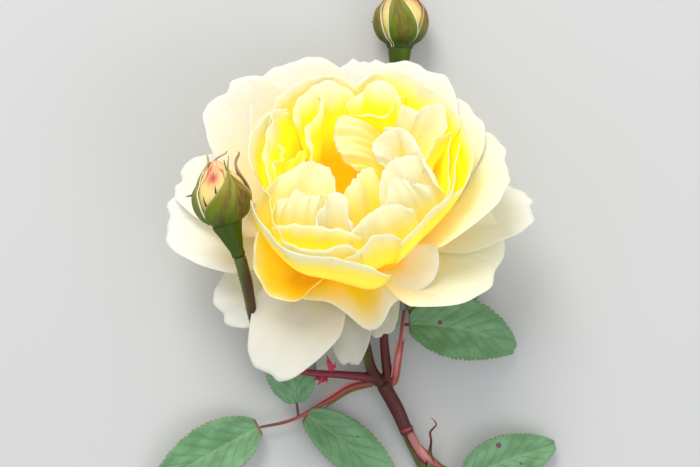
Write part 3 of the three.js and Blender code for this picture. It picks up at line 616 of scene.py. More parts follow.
# petals of the heart, which are more crumpled than the others
heartDefaults = {"ruffle": 1.0, "wave": 1.0, "waves": 5.5, "crumple": 2.2}
heartPetals = {
    "leftLobe": {"rim": ((-22.5, 14.5, 3), (-18.5, 18.5, 2), (-12, 21.5, 1), (-6, 20, 2), (-3, 13, 5)),
        "bearing": 238, "claw": (8, 3), "clawWidth": 8, "rise": (85, 62), "over": (-75, 45), "fan": 28,
        "wave": 1.2, "pleats": 4, "pleatDepth": 0.3, "tone": 0.8, "gold": 0.2, "sunken": 0.4},
    "leftCrest": {"rim": ((-20, 9, 2), (-16, 13, 0), (-11.5, 11, 0.5), (-7.5, 14.5, 0)), "bearing": 236,
        "claw": (8, 3), "clawWidth": 6, "rise": (85, 55), "over": (-62, 38), "fan": 20, "tone": 0.6,
        "gold": 0.2, "sunken": 0.4},
    "rightCrest": {"rim": ((9.5, 12, 1), (13, 16.5, -0.5), (17.5, 15, -0.5), (21, 16.5, 0)), "bearing": 318,
        "claw": (8, 4), "clawWidth": 6, "rise": (84, 55), "over": (-60, 38), "fan": 20, "tone": 0.4,
        "gold": 0.15, "sunken": 0.35},
    "smallCurl": {"rim": ((-19, 20.5, 9), (-15, 25.5, 8), (-12, 21, 9)), "bearing": 225, "rise": (80, 50),
        "over": (-60, 30), "fan": 20, "tone": 1.0},
    "ribbon": {"rim": ((-11, 43, 2), (-9.5, 38.5, 3), (-13.5, 32, 4), (-12.5, 25.5, 5), (-9.5, 20.5, 6)),
        "bearing": 150, "claw": (14, 8), "clawWidth": 6, "rise": (5, 24), "over": (98, 12), "fan": 0,
        "tone": 0.75},
    "leftFold": {"rim": ((-23, 16, 5), (-21.5, 21, 5), (-19.5, 28.5, 4)), "bearing": 200, "rise": (70, 45),
        "over": (-40, 20), "fan": 10, "tone": 0.8},
    "fan": {"rim": ((-2, 19, 6), (-4.5, 27, 4), (-6, 36, 3)), "bearing": 12, "claw": (10, 8), "clawWidth": 9,
        "rise": (60, 36), "over": (-90, 48), "fan": 0, "pleats": 6, "pleatDepth": 1.0, "tone": 0.8,
        "gold": 0.3, "sunken": 0.6},
    "fanUnder": {"rim": ((4, 17.5, 10), (0, 20.5, 9), (-1.5, 28.5, 8)), "bearing": 350, "claw": (8, 4),
        "clawWidth": 5, "rise": (60, 30), "over": (-80, 35), "fan": 0, "tone": 0.95},
    "rightFold": {"rim": ((8.5, 20, 3), (6.5, 25.5, 1), (9.5, 31.5, 1)), "bearing": 8, "claw": (12, 8),
        "clawWidth": 6, "rise": (65, 36), "over": (-75, 30), "fan": 10, "tone": 0.3, "gold": 0.15,
        "sunken": 0.5},
    "whiteTips": {"rim": ((11, 33.5, 3), (16.5, 31.5, 2), (21, 26, 2), (23, 19.5, 3)), "bearing": 25,
        "claw": (14, 8), "clawWidth": 5, "rise": (40, 26), "over": (60, 10), "fan": 10, "tone": 0.2,
        "gold": 0.15, "sunken": 0.35},
    "rightPleat": {"rim": ((22, 19, 5), (23, 24.5, 4), (27, 29, 3), (30.5, 32.5, 3)), "bearing": 5,
        "claw": (14, 8), "rise": (50, 30), "over": (-30, 18), "fan": 20, "tone": 0.5},
    "rightCurl": {"rim": ((16.5, 42, 3), (21.5, 37, 3), (25, 40, 1), (29.5, 38, 1), (29, 32.5, 3)),
        "bearing": 40, "rise": (75, 45), "over": (40, 20), "fan": 20, "tone": 0.3, "gold": 0.15,
        "sunken": 0.35},
    "topFold": {"rim": ((-1.5, 42, 3), (3.5, 43.5, 2), (7.5, 47, 1), (12.5, 46, 1), (16.5, 42, 2)),
        "bearing": 78, "rise": (75, 45), "over": (60, 20), "fan": 20, "tone": 0.6, "gold": 0.3},
    "topLip": {"rim": ((0, 37, 4), (6.5, 35, 4), (11, 36, 3), (13, 39.5, 3), (16.5, 42, 4)), "bearing": 75,
        "claw": (12, 6), "rise": (60, 36), "over": (-60, 26), "fan": 20, "tone": 0.6},
    "topLeftLip": {"rim": ((-19.5, 36, 3), (-16, 41.5, 2), (-10, 46, 1), (-1.5, 46, 1), (2, 43, 2)),
        "bearing": 112, "rise": (70, 42), "over": (85, 20), "fan": 25, "tone": 0.6, "gold": 0.8},
    "leftLip": {"rim": ((-26, 14.5, 3), (-25.5, 25, 2), (-24.5, 35, 1), (-19, 39, 2)), "bearing": 160,
        "rise": (78, 45), "over": (40, 20), "fan": 25, "tone": 0.65, "gold": 0.7},
    "rightLobe": {"rim": ((7, 14.5, 3), (10, 20, 1), (15.5, 23, 0), (21, 22, 0), (23, 16.5, 1)),
        "bearing": 322, "claw": (8, 4), "clawWidth": 6, "rise": (84, 58), "over": (-70, 42), "fan": 20,
        "tone": 0.4, "gold": 0.15, "sunken": 0.35},
    "middleCurl": {"rim": ((-4, 12, 5), (0.5, 15.5, 4), (5.5, 20.5, 4), (8.5, 18, 4)), "bearing": 290,
        "rise": (80, 50), "over": (-75, 38), "fan": 15, "tone": 0.8, "gold": 0.2, "sunken": 0.5},
    "middleFold": {"rim": ((-8, 4.5, 1), (-7.5, 11, 1), (-2.5, 12, 1), (1, 7, 1)), "bearing": 262,
        "claw": (6, 4), "clawWidth": 6, "rise": (80, 55), "over": (-65, 38), "fan": 15, "wave": 1.2,
        "tone": 0.3, "gold": 0.1, "sunken": 0.25},
    "frontLobe": {"rim": ((0, 1, 1), (6, 6.5, 0), (11.5, 8.5, 0), (17.5, 10, 0)), "bearing": 298,
        "claw": (8, 3), "clawWidth": 6, "rise": (80, 55), "over": (-40, 34), "fan": 20, "tone": 0.5,
        "gold": 0.15, "sunken": 0.35},
}


def buildBloom():
    outer = [petalPart(row, firstSeed["guardPetal"] + n) for n, row in enumerate(guardPetals)]
    outer += [spannedPart(row, firstSeed["apronPetal"] + n) for n, row in enumerate(apronPetals.values())]
    cup = [spannedPart(row, firstSeed["cupPetal"] + n) for n, row in enumerate(cupPetals.values())]
    heart = [spannedPart({**heartDefaults, **row}, firstSeed["heartPetal"] + n)
             for n, row in enumerate(heartPetals.values())]
    for name, parts in (("outerPetals", outer), ("cupPetals", cup), ("heartPetals", heart)):
        buildPiece(name, parts, petalPaint, "petal", "bloom")


buildBloom()


def frameAlong(path):  # unit vectors along, beside and above each point of a path
    ahead = np.gradient(path, axis=0)
    ahead /= np.linalg.norm(ahead, axis=1)[:, None]
    side = np.cross(ahead, (0, 0, 1.0))
    side /= np.linalg.norm(side, axis=1)[:, None]
    return ahead, side, np.cross(side, ahead)


def spread(values, t):  # values at even places from 0 to 1, or (place, value) pairs, read at t
    if isinstance(values[0], tuple):
        return np.interp(t, [place for place, _ in values], [value for _, value in values])
    return np.interp(t, np.linspace(0, 1, len(values)), values)


def ringFaces(count, sides):
    # the faces of a closed run of rings, with a fan at each end onto the two points that follow the rings
    at = np.arange(count * sides).reshape(count, sides)
    turn = np.roll(at, -1, axis=1)
    skin = np.stack([at[:-1].ravel(), turn[:-1].ravel(), turn[1:].ravel(), at[1:].ravel()], axis=1)
    first, last = count * sides, count * sides + 1
    caps = [[first, turn[0, n], at[0, n], at[0, n]] for n in range(sides)]
    caps += [[last, at[-1, n], turn[-1, n], turn[-1, n]] for n in range(sides)]
    return np.vstack([skin, np.array(caps)])


tubeForm = {
    "ribs": 5,
    "ribTwist": 0.1,  # radians a mm
    "ribShare": 0.35,  # of the relief
    "lumpShare": 0.5,
    "rounding": 1.2,  # mm over which the two ends round off
}


def tubePart(limb, seed, sides, spacing, relief=0.06):
    # a tapering stalk with a slightly ribbed and lumpy skin; the relief is a share of its radius
    length = smoothPath(limb["points"], 2)[1]
    count = max(8, int(length / spacing))
    path, length = smoothPath(limb["points"], count)
    ahead, side, up = frameAlong(path)
    t = np.linspace(0, 1, count)
    radii = spread(limb["radii"], t)
    for centre, width, swell in limb.get("knots", ()):
        radii = radii + swell * np.exp(-(((t - centre) * length / width) ** 2))
    ends = np.clip(np.minimum(t, 1 - t) * length / tubeForm["rounding"], 0, 1)
    radii = radii * np.sqrt(np.clip(1 - (1 - ends) ** 2, 0.02, 1))
    angle = np.linspace(0, 2 * math.pi, sides, endpoint=False)
    run = (t * length)[:, None]
    lumps = tubeForm["lumpShare"] * rippleAt(ripples(seed, 6, 0.3, 1.2), run, 2 * np.cos(angle))
    ribs = tubeForm["ribShare"] * np.cos(tubeForm["ribs"] * angle + tubeForm["ribTwist"] * run)
    grid = radii[:, None] * (1 + relief * (lumps + ribs))
    outer = np.cos(angle)[None, :, None] * side[:, None, :] + np.sin(angle)[None, :, None] * up[:, None, :]
    verts = (path[:, None, :] + grid[:, :, None] * outer).reshape(-1, 3)
    verts = np.vstack([verts, path[0], path[-1]])
    flush = spread(limb["flush"], t)[:, None] + limb.get("cheek", 0.0) * outer[:, :, 0]
    values = {
        "along": np.append(np.repeat(t * length, sides), [0, length]),
        "across": np.append(np.tile(np.cos(angle), count), [0, 0]),
        "round": np.append(np.tile(np.sin(angle), count), [0, 0]),
        "sunny": np.append(outer[:, :, 2].ravel(), [0, 0]) * 0.5 + 0.5,
        "seed": np.full(len(verts), noiseSeed(seed)),
        "flush": np.append(flush.ravel(), [spread(limb["flush"], 0), spread(limb["flush"], 1)]),
    }
    return {"verts": verts, "faces": ringFaces(count, sides), "values": values}


def weldParts(parts, voxel, rounds):
    # one skin over overlapping tubes, so that they meet in soft creases; its values come from the nearest
    # points of the tubes
    verts, faces = joined(parts)
    mesh = bpy.data.meshes.new("rough")
    mesh.from_pydata((verts * mm).tolist(), [], faces)
    rough = bpy.data.objects.new("rough", mesh)
    bpy.context.scene.collection.objects.link(rough)
    skin = rough.modifiers.new("skin", "REMESH")
    skin.mode, skin.voxel_size = "VOXEL", voxel * mm
    soften = rough.modifiers.new("soften", "SMOOTH")
    soften.factor, soften.iterations = 0.5, rounds
    done = bpy.data.meshes.new_from_object(rough.evaluated_get(bpy.context.evaluated_depsgraph_get()))
    welded = np.array([vert.co[:] for vert in done.vertices]) / mm
    quads = np.array([(list(face.vertices) + [face.vertices[-1]])[:4] for face in done.polygons])
    bpy.data.objects.remove(rough)
    tree = KDTree(len(verts))
    for n, vert in enumerate(verts):
        tree.insert(vert, n)
    tree.balance()
    near = [tree.find_n(vert, 4) for vert in welded]
    ids = np.array([[hit[1] for hit in hits] for hits in near])
    weights = 1 / (np.array([[hit[2] for hit in hits] for hits in near]) + 0.05) ** 2
    weights /= weights.sum(axis=1)[:, None]
    values = {key: (np.concatenate([part["values"][key] for part in parts])[ids] * weights).sum(axis=1)
              for key in parts[0]["values"]}
    return {"verts": welded, "faces": quads, "values": values}


glandForm = {
    "tube": {"radii": [0.12, 0.05, 0.11], "flush": [0.8, 1.2, 1.5]},
    "length": (0.35, 0.75),
    "lean": 0.25,  # towards the stem's tip
    "sunk": 0.9,  # where it starts, as a share of the stem's radius
}


def glandParts(limb, seed):
    # small stalked glands that stand on a stem between two places along it
    start, end, count = limb["glands"]
    dice = random.Random(seed)
    path, _ = smoothPath(limb["points"], 200)
    ahead, side, up = frameAlong(path)
    parts = []
    for n in range(count):
        t = start + (end - start) * dice.random()
        k = int(t * 199)
        turn = dice.uniform(0, 2 * math.pi)
        out = math.cos(turn) * side[k] + math.sin(turn) * up[k]
        foot = path[k] + out * (spread(limb["radii"], t) * glandForm["sunk"])
        tip = foot + (out + glandForm["lean"] * ahead[k]) * dice.uniform(*glandForm["length"])
        gland = {**glandForm["tube"], "points": [foot, 0.5 * (foot + tip), tip]}
        parts.append(tubePart(gland, n, sides=5, spacing=0.12, relief=0.0))
    return parts


wingForm = {
    "columns": 6, "rows": 60, "thickness": 0.22,
    "rise": 0.45,  # of its width
    "wave": 0.25,
    "freeFrom": 0.82,  # where its point parts from the stalk, as a share of its length
}


def wingParts(limb, seed):
    # the narrow wings along the foot of a leaf stalk, each ending in a free point
    start, end, width, flushes = limb["wings"]
    path, _ = smoothPath(limb["points"], 200)
    curves = (path, *frameAlong(path)[1:])
    parts = []
    for hand, flush in zip((-1, 1), flushes):
        waves = ripples(seed + hand, 4, 6, 14)

        def pointAt(u, v, lift):
            t = start + (end - start) * v * (1.12 + 0.03 * hand)
            spot, beside, above = (readCurve(curve, t) for curve in curves)
            reach = width * (0.75 + 0.25 * ease(v / 0.3)) * (1 - ease((v - 0.84) / 0.16) * 0.92)
            free = ease((v - wingForm["freeFrom"]) / (1 - wingForm["freeFrom"]))
            inner = spread(limb["radii"], t) * 0.7 + free * 0.9
            outward = 0.5 + 0.5 * u
            rise = wingForm["rise"] * outward * reach + wingForm["wave"] * rippleAt(waves, 3 * v, u) * outward
            sideways = hand * (inner + reach * outward)
            placed = spot + beside * sideways[:, None] + above * (rise + lift)[:, None]
            return placed[:, 0], placed[:, 1], placed[:, 2]

        parts.append(sheetPart(wingForm, pointAt, seed, {"seed": 3 + hand, "flush": flush, "sunny": 0.5}))
    return parts


# limbs by their places and radii in mm; flush runs from green at 0 through maroon at 1 and crimson at 2 to
# pale pink at 3, and cheek is how much greener the left side is than the right; knots are swellings as (place
# along, length, height), glands are (start, end, how many) and wings (start, end, width, flush of each wing)
stems = {
    "cane": {
        "points": [(30.2, -88.7, 2.5), (22.8, -73.3, 3), (18.5, -64.4, 4), (15.5, -57.7, 5.2),
                   (11.2, -50, 6.5), (10.2, -48.6, 6.8)],
        "radii": [2.4, 2.3, 2.15, 2.1, 2.4, 2.3],
        "flush": [(0, 0.1), (0.57, 0.25), (0.605, 1.35), (0.63, 1.05), (0.9, 1.0), (1, 0.9)],
        "knots": [(0.6, 0.9, 0.3)],
    },
    "bloom_pedicel": {
        "points": [(10.4, -49.3, 6.7), (7.2, -44.8, 7), (5.2, -36.3, 7.2), (2.8, -24.3, 7.4),
                   (0.6, -13.5, 8.8), (0, -7.4, 12.1)],
        "radii": [2.2, 1.7, 1.45, 1.5, 1.8, 2], "flush": [0.9, 0.45, 0.3, 0.2, 0.15, 0.1], "cheek": 0.25,
    },
    "top_bud_pedicel": {
        "points": [(13.0, -50.4, 6), (11.9, -42.9, 6), (11.1, -34.1, 6), (11.5, -20, 5), (13.4, 15, 4.6),
                   (15.75, 51.8, 9.1)],
        "radii": [1.8, 1.35, 1.1, 1.2, 1.3, 1.6], "flush": [1.0, 1.25, 1.2, 0.7, 0.4, 0.1],
        "glands": (0.7, 0.97, 60),
    },
    "left_bud_pedicel": {
        "points": [(9.8, -48.2, 7.0), (7.6, -47.2, 7.3), (-1.6, -45.9, 9.5), (-16.1, -44.2, 14),
                   (-25.1, -39.2, 21), (-29.4, -28.4, 32.9), (-31.5, -15, 43.3), (-32.9, -8.4, 47.7),
                   (-33.4, -6.4, 48.4)],
        "radii": [1.7, 1.35, 1.15, 1.1, 1.2, 1.35, 1.6, 1.9, 1.9],
        "flush": [1.0, 1.35, 1.55, 1.7, 1.2, 0.7, 0.5, 0.45, 0.2], "cheek": 0.35, "glands": (0.62, 0.98, 110),
    },
}
stemExtras = {
    "leafBase": {  # the swollen foot of the lower leaf's stalk, which clasps the cane below the ring
        "points": [(19.3, -64.9, 5.6), (21.2, -68.4, 5.0), (23.2, -72.0, 4.6), (25.2, -75.2, 4.2)],
        "radii": [1.35, 1.5, 1.35, 0.9], "flush": [2.9, 3.0, 2.9, 2.3],
    },
    "ring": {  # the scar where an older leaf sat
        "points": [(16.0, -64.9, 4.6), (16.9, -64.7, 5.8), (18.6, -64.1, 6.35), (20.2, -63.3, 5.8),
                   (20.9, -62.9, 4.6)],
        "radii": [0.2, 0.26, 0.28, 0.26, 0.2], "flush": [1.6, 2.0, 2.3, 2.3, 1.8],
    },
}
stalks = {
    "left_leaf_stalk": {
        "points": [(8.6, -48.9, 5.9), (7, -48.8, 5.6), (0.2, -50.3, 5), (-6.2, -54.2, 4.4), (-12.8, -58, 4.1),
                   (-16.7, -60.1, 4), (-21.3, -61.8, 4), (-29.8, -63.5, 4.2)],
        "radii": [0.95, 0.95, 0.9, 0.8, 0.62, 0.55, 0.5, 0.45],
        "flush": [1.2, 1.6, 1.9, 1.6, 2.0, 1.9, 1.0, 0.6],
        "wings": (0.03, 0.44, 0.95, (0.4, 2.9)),
    },
    "right_leaf_stalk": {
        "points": [(12.8, -49.8, 6.2), (14.3, -48.1, 6.8), (15.3, -41.8, 8), (16.4, -34.9, 8.6),
                   (16.9, -30.5, 8.6), (17.8, -24.6, 7)],
        "radii": [1.0, 0.95, 0.85, 0.6, 0.55, 0.5], "flush": [1.3, 2.2, 2.5, 2.0, 1.9, 1.5],
        "wings": (0.06, 0.58, 0.8, (2.8, 2.5)),
    },
    "lower_leaf_stalk": {
        "points": [(20.6, -67.5, 5), (23.8, -71.6, 4.9), (27.1, -74.8, 4.6), (30.6, -77.4, 4.3),
                   (35, -79.9, 4), (43.6, -84, 3.2)],
        "radii": [1.0, 1.2, 1.0, 0.8, 0.65, 0.55], "flush": [2.6, 2.6, 2.0, 1.2, 0.8, 0.5],
        "wings": (0.1, 0.5, 0.7, (0.4, 2.2)),
    },
}


def stemSkinGroup():
    tree, given, result = newGroup("stemSkin", {
        "Along": 0.0, "Across": 0.0, "Round": 0.0, "Sunny": 0.5, "Flush": 0.5, "Seed": 0.0,
        "Green": (0.085, 0.115, 0.02, 1), "Maroon": (0.055, 0.012, 0.008, 1),
        "Crimson": (0.2, 0.022, 0.04, 1), "Pale": (0.38, 0.14, 0.135, 1),
    }, {"Colour": (0.0, 0.0, 0.0, 1), "Height": None})
    place = combine(tree, given["Across"], given["Round"],
                    mathNode(tree, "MULTIPLY_ADD", given["Along"], 0.12, given["Seed"]))
    patches = noiseNode(tree, place, 1.1, 3.0)
    streakPlace = combine(tree, times(tree, given["Across"], 6.0),
                          times(tree, given["Round"], 6.0),
                          mathNode(tree, "MULTIPLY_ADD", given["Along"], 0.25, given["Seed"]))
    streaks = noiseNode(tree, streakPlace, 1.6, 4.0, 0.6)
    lit = times(tree, mathNode(tree, "SUBTRACT", given["Sunny"], 0.6), 0.75)
    drift = swing(tree, patches, 0.7)
    reddened = mathNode(tree, "ADD", given["Flush"], mathNode(tree, "ADD", lit, drift))
    skin = mixColour(tree, rangeNode(tree, reddened, 0.2, 0.95), given["Green"], given["Maroon"])
    skin = mixColour(tree, rangeNode(tree, reddened, 1.1, 2.0), skin, given["Crimson"])
    skin = mixColour(tree, rangeNode(tree, reddened, 2.0, 3.0), skin, given["Pale"])
    sheen = rangeNode(tree, streaks, 0.35, 0.7, 0.0, 0.3)
    skin = mixColour(tree, sheen, skin, (0.9, 0.8, 0.55, 1), "SOFT_LIGHT")
    # small pale breathing pores, longer than they are wide
    porePlace = combine(tree, times(tree, given["Across"], 2.4), times(tree, given["Round"], 2.4),
                        mathNode(tree, "MULTIPLY_ADD", given["Along"], 0.55, given["Seed"]))
    pores = addNode(tree, "ShaderNodeTexVoronoi", {"Vector": porePlace, "Scale": 1.4})
    spots = rangeNode(tree, pores.outputs["Distance"], 0.05, 0.11, 0.35, 0.0)
    skin = mixColour(tree, spots, skin, (0.42, 0.3, 0.16, 1))
    tree.links.new(skin, result["Colour"])
    height = mathNode(tree, "MULTIPLY_ADD", streaks, 0.6, mathNode(tree, "MULTIPLY_ADD", spots, 1.2, patches))
    tree.links.new(height, result["Height"])
    return tree


stemLook = {
    "fields": {"Along": "along", "Across": "across", "Round": "round", "Sunny": "sunny", "Flush": "flush",
               "Seed": "seed"},
    "finish": {"Roughness": 0.42, "Specular IOR Level": 0.3},
    "relief": (0.3, 0.3),
}
stemSkin = stemSkinGroup()
stemPaint = buildMaterial("stemPaint", stemSkin, stemLook)
stalkPaint = buildMaterial("stalkPaint", stemSkin, stemLook, {
    "Green": (0.17, 0.17, 0.03, 1), "Maroon": (0.14, 0.06, 0.02, 1), "Crimson": (0.3, 0.06, 0.055, 1),
    "Pale": (0.56, 0.2, 0.2, 1),
})

stemForm = {
    "stemGrid": {"sides": 24, "spacing": 0.35},  # points round a tube, and mm between its rings
    "extraGrid": {"sides": 12, "spacing": 0.3},
    "stalkGrid": {"sides": 14, "spacing": 0.3},
    "voxel": 0.26,  # mm, of the skin that welds the stems together
    "softening": 5,
}


def buildStems():
    tubes = [tubePart(limb, firstSeed["stem"] + n, **stemForm["stemGrid"])
             for n, limb in enumerate(stems.values())]
    tubes += [tubePart(limb, firstSeed["stemExtra"] + n, **stemForm["extraGrid"])
              for n, limb in enumerate(stemExtras.values())]
    parts = [weldParts(tubes, stemForm["voxel"], stemForm["softening"])]
    for n, limb in enumerate(stems.values()):
        if "glands" in limb:
            parts += glandParts(limb, firstSeed["stem"] + n)
    buildPiece("stemSkin", parts, stemPaint, "stem", *stems)
    for n, (node, limb) in enumerate(stalks.items()):
        parts = [tubePart(limb, firstSeed["stalk"] + n, **stemForm["stalkGrid"])]
        parts += wingParts(limb, firstSeed["wing"] + n)
        buildPiece(pieceName(node, "Skin"), parts, stalkPaint, "stalk", node)


buildStems()


leafForm = {
    "columns": 28, "rows": 240, "thickness": 0.35,
    "teeth": 24,
    "toothDepth": 0.085,  # of the half width
    "veins": 8,
    "veinSlant": 0.42,  # how far a side vein runs on towards the tip, as a share of the length
    "veinBend": 0.16,
    "quilt": 0.28,  # mm that the veins sink
}

# leaflets by the place of their foot in mm, and their heading and pitch there in degrees; sweep and droop
# are how much those change up to the tip, bank and fold lean the blade and its halves, neck is the bare
# share at the foot, and marks are purple spots as (u, v, size in mm)
leafDefaults = {
    "sweep": 0.0, "droop": 0.0, "bank": 0.0, "fold": 14.0, "toothed": True, "ripple": 0.5, "neck": 0.0,
    "flush": 2.0, "marks": (),
}
leaflets = {
    "left_leaf_tip": {"base": (-29.8, -63.2, 4.2), "heading": 208, "sweep": 3, "pitch": 6, "droop": -12,
                      "length": 39.5, "halfWidth": 9.6, "bank": -6},
    "left_leaf_lower": {"base": (-14.6, -59.6, 4), "heading": -29, "sweep": -26, "pitch": 4, "droop": -10,
                        "length": 42, "halfWidth": 8.2, "bank": 4},
    "left_leaf_upper": {"base": (-16.9, -59.6, 4.2), "heading": 97, "sweep": 6, "pitch": 14, "droop": -14,
                        "length": 32, "halfWidth": 8.5, "neck": 0.14},
    "right_leaf_side": {"base": (17.7, -29.6, 8.7), "heading": 4, "sweep": -34, "pitch": 8, "droop": -26,
                        "length": 38, "halfWidth": 10.5, "bank": 8, "neck": 0.04,
                        "marks": ((-0.1, 0.3, 0.8),)},
    "right_leaf_tip": {"base": (18.2, -24, 7), "heading": 24, "sweep": 4, "pitch": -14, "droop": 8,
                       "length": 31, "halfWidth": 10},
    "right_leaf_inner": {"base": (14.4, -30, 8.8), "heading": 122, "sweep": 6, "pitch": 6, "droop": 0,
                         "length": 18, "halfWidth": 5},
    "lower_leaf_side": {"base": (37.2, -80, 4), "heading": 24, "sweep": -8, "pitch": 4, "droop": -8,
                        "length": 32, "halfWidth": 9, "marks": ((-0.65, 0.45, 0.9), (0.3, 0.6, 0.5))},
    "lower_leaf_tip": {"base": (44.2, -84.3, 3.4), "heading": -30, "sweep": -6, "pitch": 2, "droop": -8,
                       "length": 34, "halfWidth": 9.5},
    "lower_leaf_inner": {"base": (35.4, -81.6, 3.6), "heading": -94, "sweep": 4, "pitch": 2, "droop": -8,
                         "length": 27, "halfWidth": 8},
}
bractForm = {"columns": 10, "rows": 30, "thickness": 0.25}
bractDefaults = {"ripple": 0.3, "flush": 2.3, "toothed": False}
bracts = {  # each of one or more small blades
    "upper_bract": [
        {"base": (-5.7, -44.6, 11.2), "heading": 108, "pitch": 20, "length": 6.4, "halfWidth": 1.0,
         "fold": 24},
        {"base": (-5.9, -43.2, 11.7), "heading": 138, "pitch": 26, "length": 3.8, "halfWidth": 0.7,
         "sweep": -30},
        {"base": (-5.3, -43.6, 11.5), "heading": 72, "pitch": 14, "length": 2.2, "halfWidth": 0.6},
    ],
    "lower_bract": [
        {"base": (-8.4, -46.2, 10.4), "heading": 236, "pitch": -6, "length": 3.6, "halfWidth": 1.1,
         "ripple": 1.0},
        {"base": (-9.4, -46.4, 10.4), "heading": 200, "pitch": 4, "length": 2.6, "halfWidth": 0.8,
         "ripple": 1.0},
        {"base": (-7.8, -46.6, 10.2), "heading": 276, "pitch": 0, "length": 2.0, "halfWidth": 0.8,
         "ripple": 1.0},
    ],
}
curledBract = {  # the dried, curling point of the stipule at the cane's ring
    "columns": 8, "rows": 110, "thickness": 0.24,
    "twist": 0.9, "fold": 0.35, "wave": 0.2,
    "edgeFlush": 1.6,  # how much redder its edges are
    "points": [(26.6, -77.2, 4.6), (26.2, -71.5, 5.6), (26.5, -67.4, 6.4), (26.1, -64.8, 7.0),
               (27.1, -63.2, 7.7), (27.9, -62.1, 8.3), (27.2, -60.7, 8.6), (26.1, -59.9, 8.3)],
    "widths": [1.7, 1.2, 0.7, 0.45, 0.42, 0.4, 0.34, 0.12],
    "flush": [0.0, 0.1, 0.5, 1.0, 1.6, 1.8, 2.0, 2.1],
}


def ribbonPart(row, seed):  # a narrow strip along a path, folded a little along its middle
    path, length = smoothPath(row["points"], 120)
    curves = (path, *frameAlong(path)[1:])
    waves = ripples(seed, 4, 5, 12)

    def pointAt(u, v, lift):
        spot, beside, above = (readCurve(curve, v) for curve in curves)
        width = spread(row["widths"], v)
        twist = row["twist"] * np.sin(5 * v) * v
        rise = row["fold"] * np.abs(u) * width + row["wave"] * rippleAt(waves, v, u) * np.abs(u) + lift
        sideways = u * width * np.cos(twist) - rise * np.sin(twist)
        upward = u * width * np.sin(twist) + rise * np.cos(twist)
        placed = spot + beside * sideways[:, None] + above * upward[:, None]
        return placed[:, 0], placed[:, 1], placed[:, 2]

    part = sheetPart(row, pointAt, seed, {"sunny": 0.6})
    across, along = part["values"]["across"], part["values"]["along"]
    part["values"]["flush"] = spread(row["flush"], along) + row["edgeFlush"] * np.abs(across) ** 6
    part["values"]["along"] = along * length
    return part


def leafOutline(v):
    return np.sin(math.pi * np.clip(v * 0.94 + 0.03, 0, 1) ** 0.82) ** 0.72


def lanceOutline(v):
    return (0.5 + 0.5 * np.sin(math.pi * np.minimum(1, v * 1.4))) * (1 - v**3)


def veinValley(u, v):  # 1 on the midrib and the side veins, 0 between them
    phase = leafForm["veins"] * (v - leafForm["veinSlant"] * np.abs(u) + leafForm["veinBend"] * u * u)
    side = np.exp(-((phase - np.round(phase)) / 0.16) ** 2) * (1 - ease((np.abs(u) - 0.6) / 0.4))
    middle = np.exp(-((u / 0.07) ** 2))
    return np.maximum(middle, 0.75 * side)


def toothCut(u, v, seed):  # the share of the half width that the notches between the teeth take away
    tooth = (v * leafForm["teeth"] + 0.3 * chance(seed)) % 1.0
    uneven = 0.85 + 0.35 * np.sin(v * 47 + seed * 2.3 + u)
    return leafForm["toothDepth"] * (1 - tooth) ** 1.3 * np.abs(u) ** 8 * uneven


def spotField(part, spots, wide, long):
    # soft spots as (u, v, size); wide and long turn distances in u and v into the size's own unit
    across, along = part["values"]["across"], part["values"]["along"]
    field = 0 * along
    for u, v, size in spots:
        field = field + np.exp(-(((across - u) * wide) ** 2 + ((along - v) * long) ** 2) / size**2)
    return field


def bladePart(row, seed, outline, form):
    blade = {**leafDefaults, **row}
    length, half, neck = blade["length"], blade["halfWidth"], blade["neck"]

    def direction(v):
        turn = np.radians(blade["heading"] + blade["sweep"] * v)
        rise = np.radians(blade["pitch"] + blade["droop"] * v)
        return np.stack([np.cos(turn) * np.cos(rise), np.sin(turn) * np.cos(rise), np.sin(rise)], axis=-1)

    steps = direction((np.arange(form["rows"]) + 0.5) / form["rows"]) * length / form["rows"]
    path = np.vstack([blade["base"], np.array(blade["base"]) + np.cumsum(steps, axis=0)])
    waves = ripples(seed, 5, 2, 7)
    edgeWaves = ripples(seed + 40, 3, 8, 16)

    def pointAt(u, v, lift):
        along = direction(v)
        level = np.cross(along, (0, 0, 1.0))
        level /= np.linalg.norm(level, axis=1)[:, None]
        above = np.cross(level, along)
        bank = np.radians(blade["bank"])
        side = level * np.cos(bank) + above * np.sin(bank)
        up = np.cross(side, along)
        spreadAt = np.where(v < neck, 0, outline((v - neck) / (1 - neck)))
        across = u * np.maximum(0.05, spreadAt) * half
        sunken = 0
        if blade["toothed"]:
            across = across * (1 - toothCut(u, v, seed))
            sunken = leafForm["quilt"] * veinValley(u, v) * np.sin(math.pi * np.clip(v, 0, 1)) ** 0.5
        rise = np.abs(across) * math.tan(math.radians(blade["fold"])) - sunken
        rise = rise + blade["ripple"] * rippleAt(waves, u, 2 * v) * np.abs(u)
        rise = rise + 0.35 * blade["ripple"] * rippleAt(edgeWaves, v, u) * np.abs(u) ** 3
        placed = readCurve(path, v) + side * across[:, None] + up * (rise + lift)[:, None]
        return placed[:, 0], placed[:, 1], placed[:, 2]

    part = sheetPart(form, pointAt, seed, {"flush": blade["flush"], "sunny": 0.6})
    part["values"]["mark"] = spotField(part, blade["marks"], half, length)
    part["values"]["stalk"] = 1 - ease((part["values"]["along"] - neck * 0.85) / 0.03)
    return part


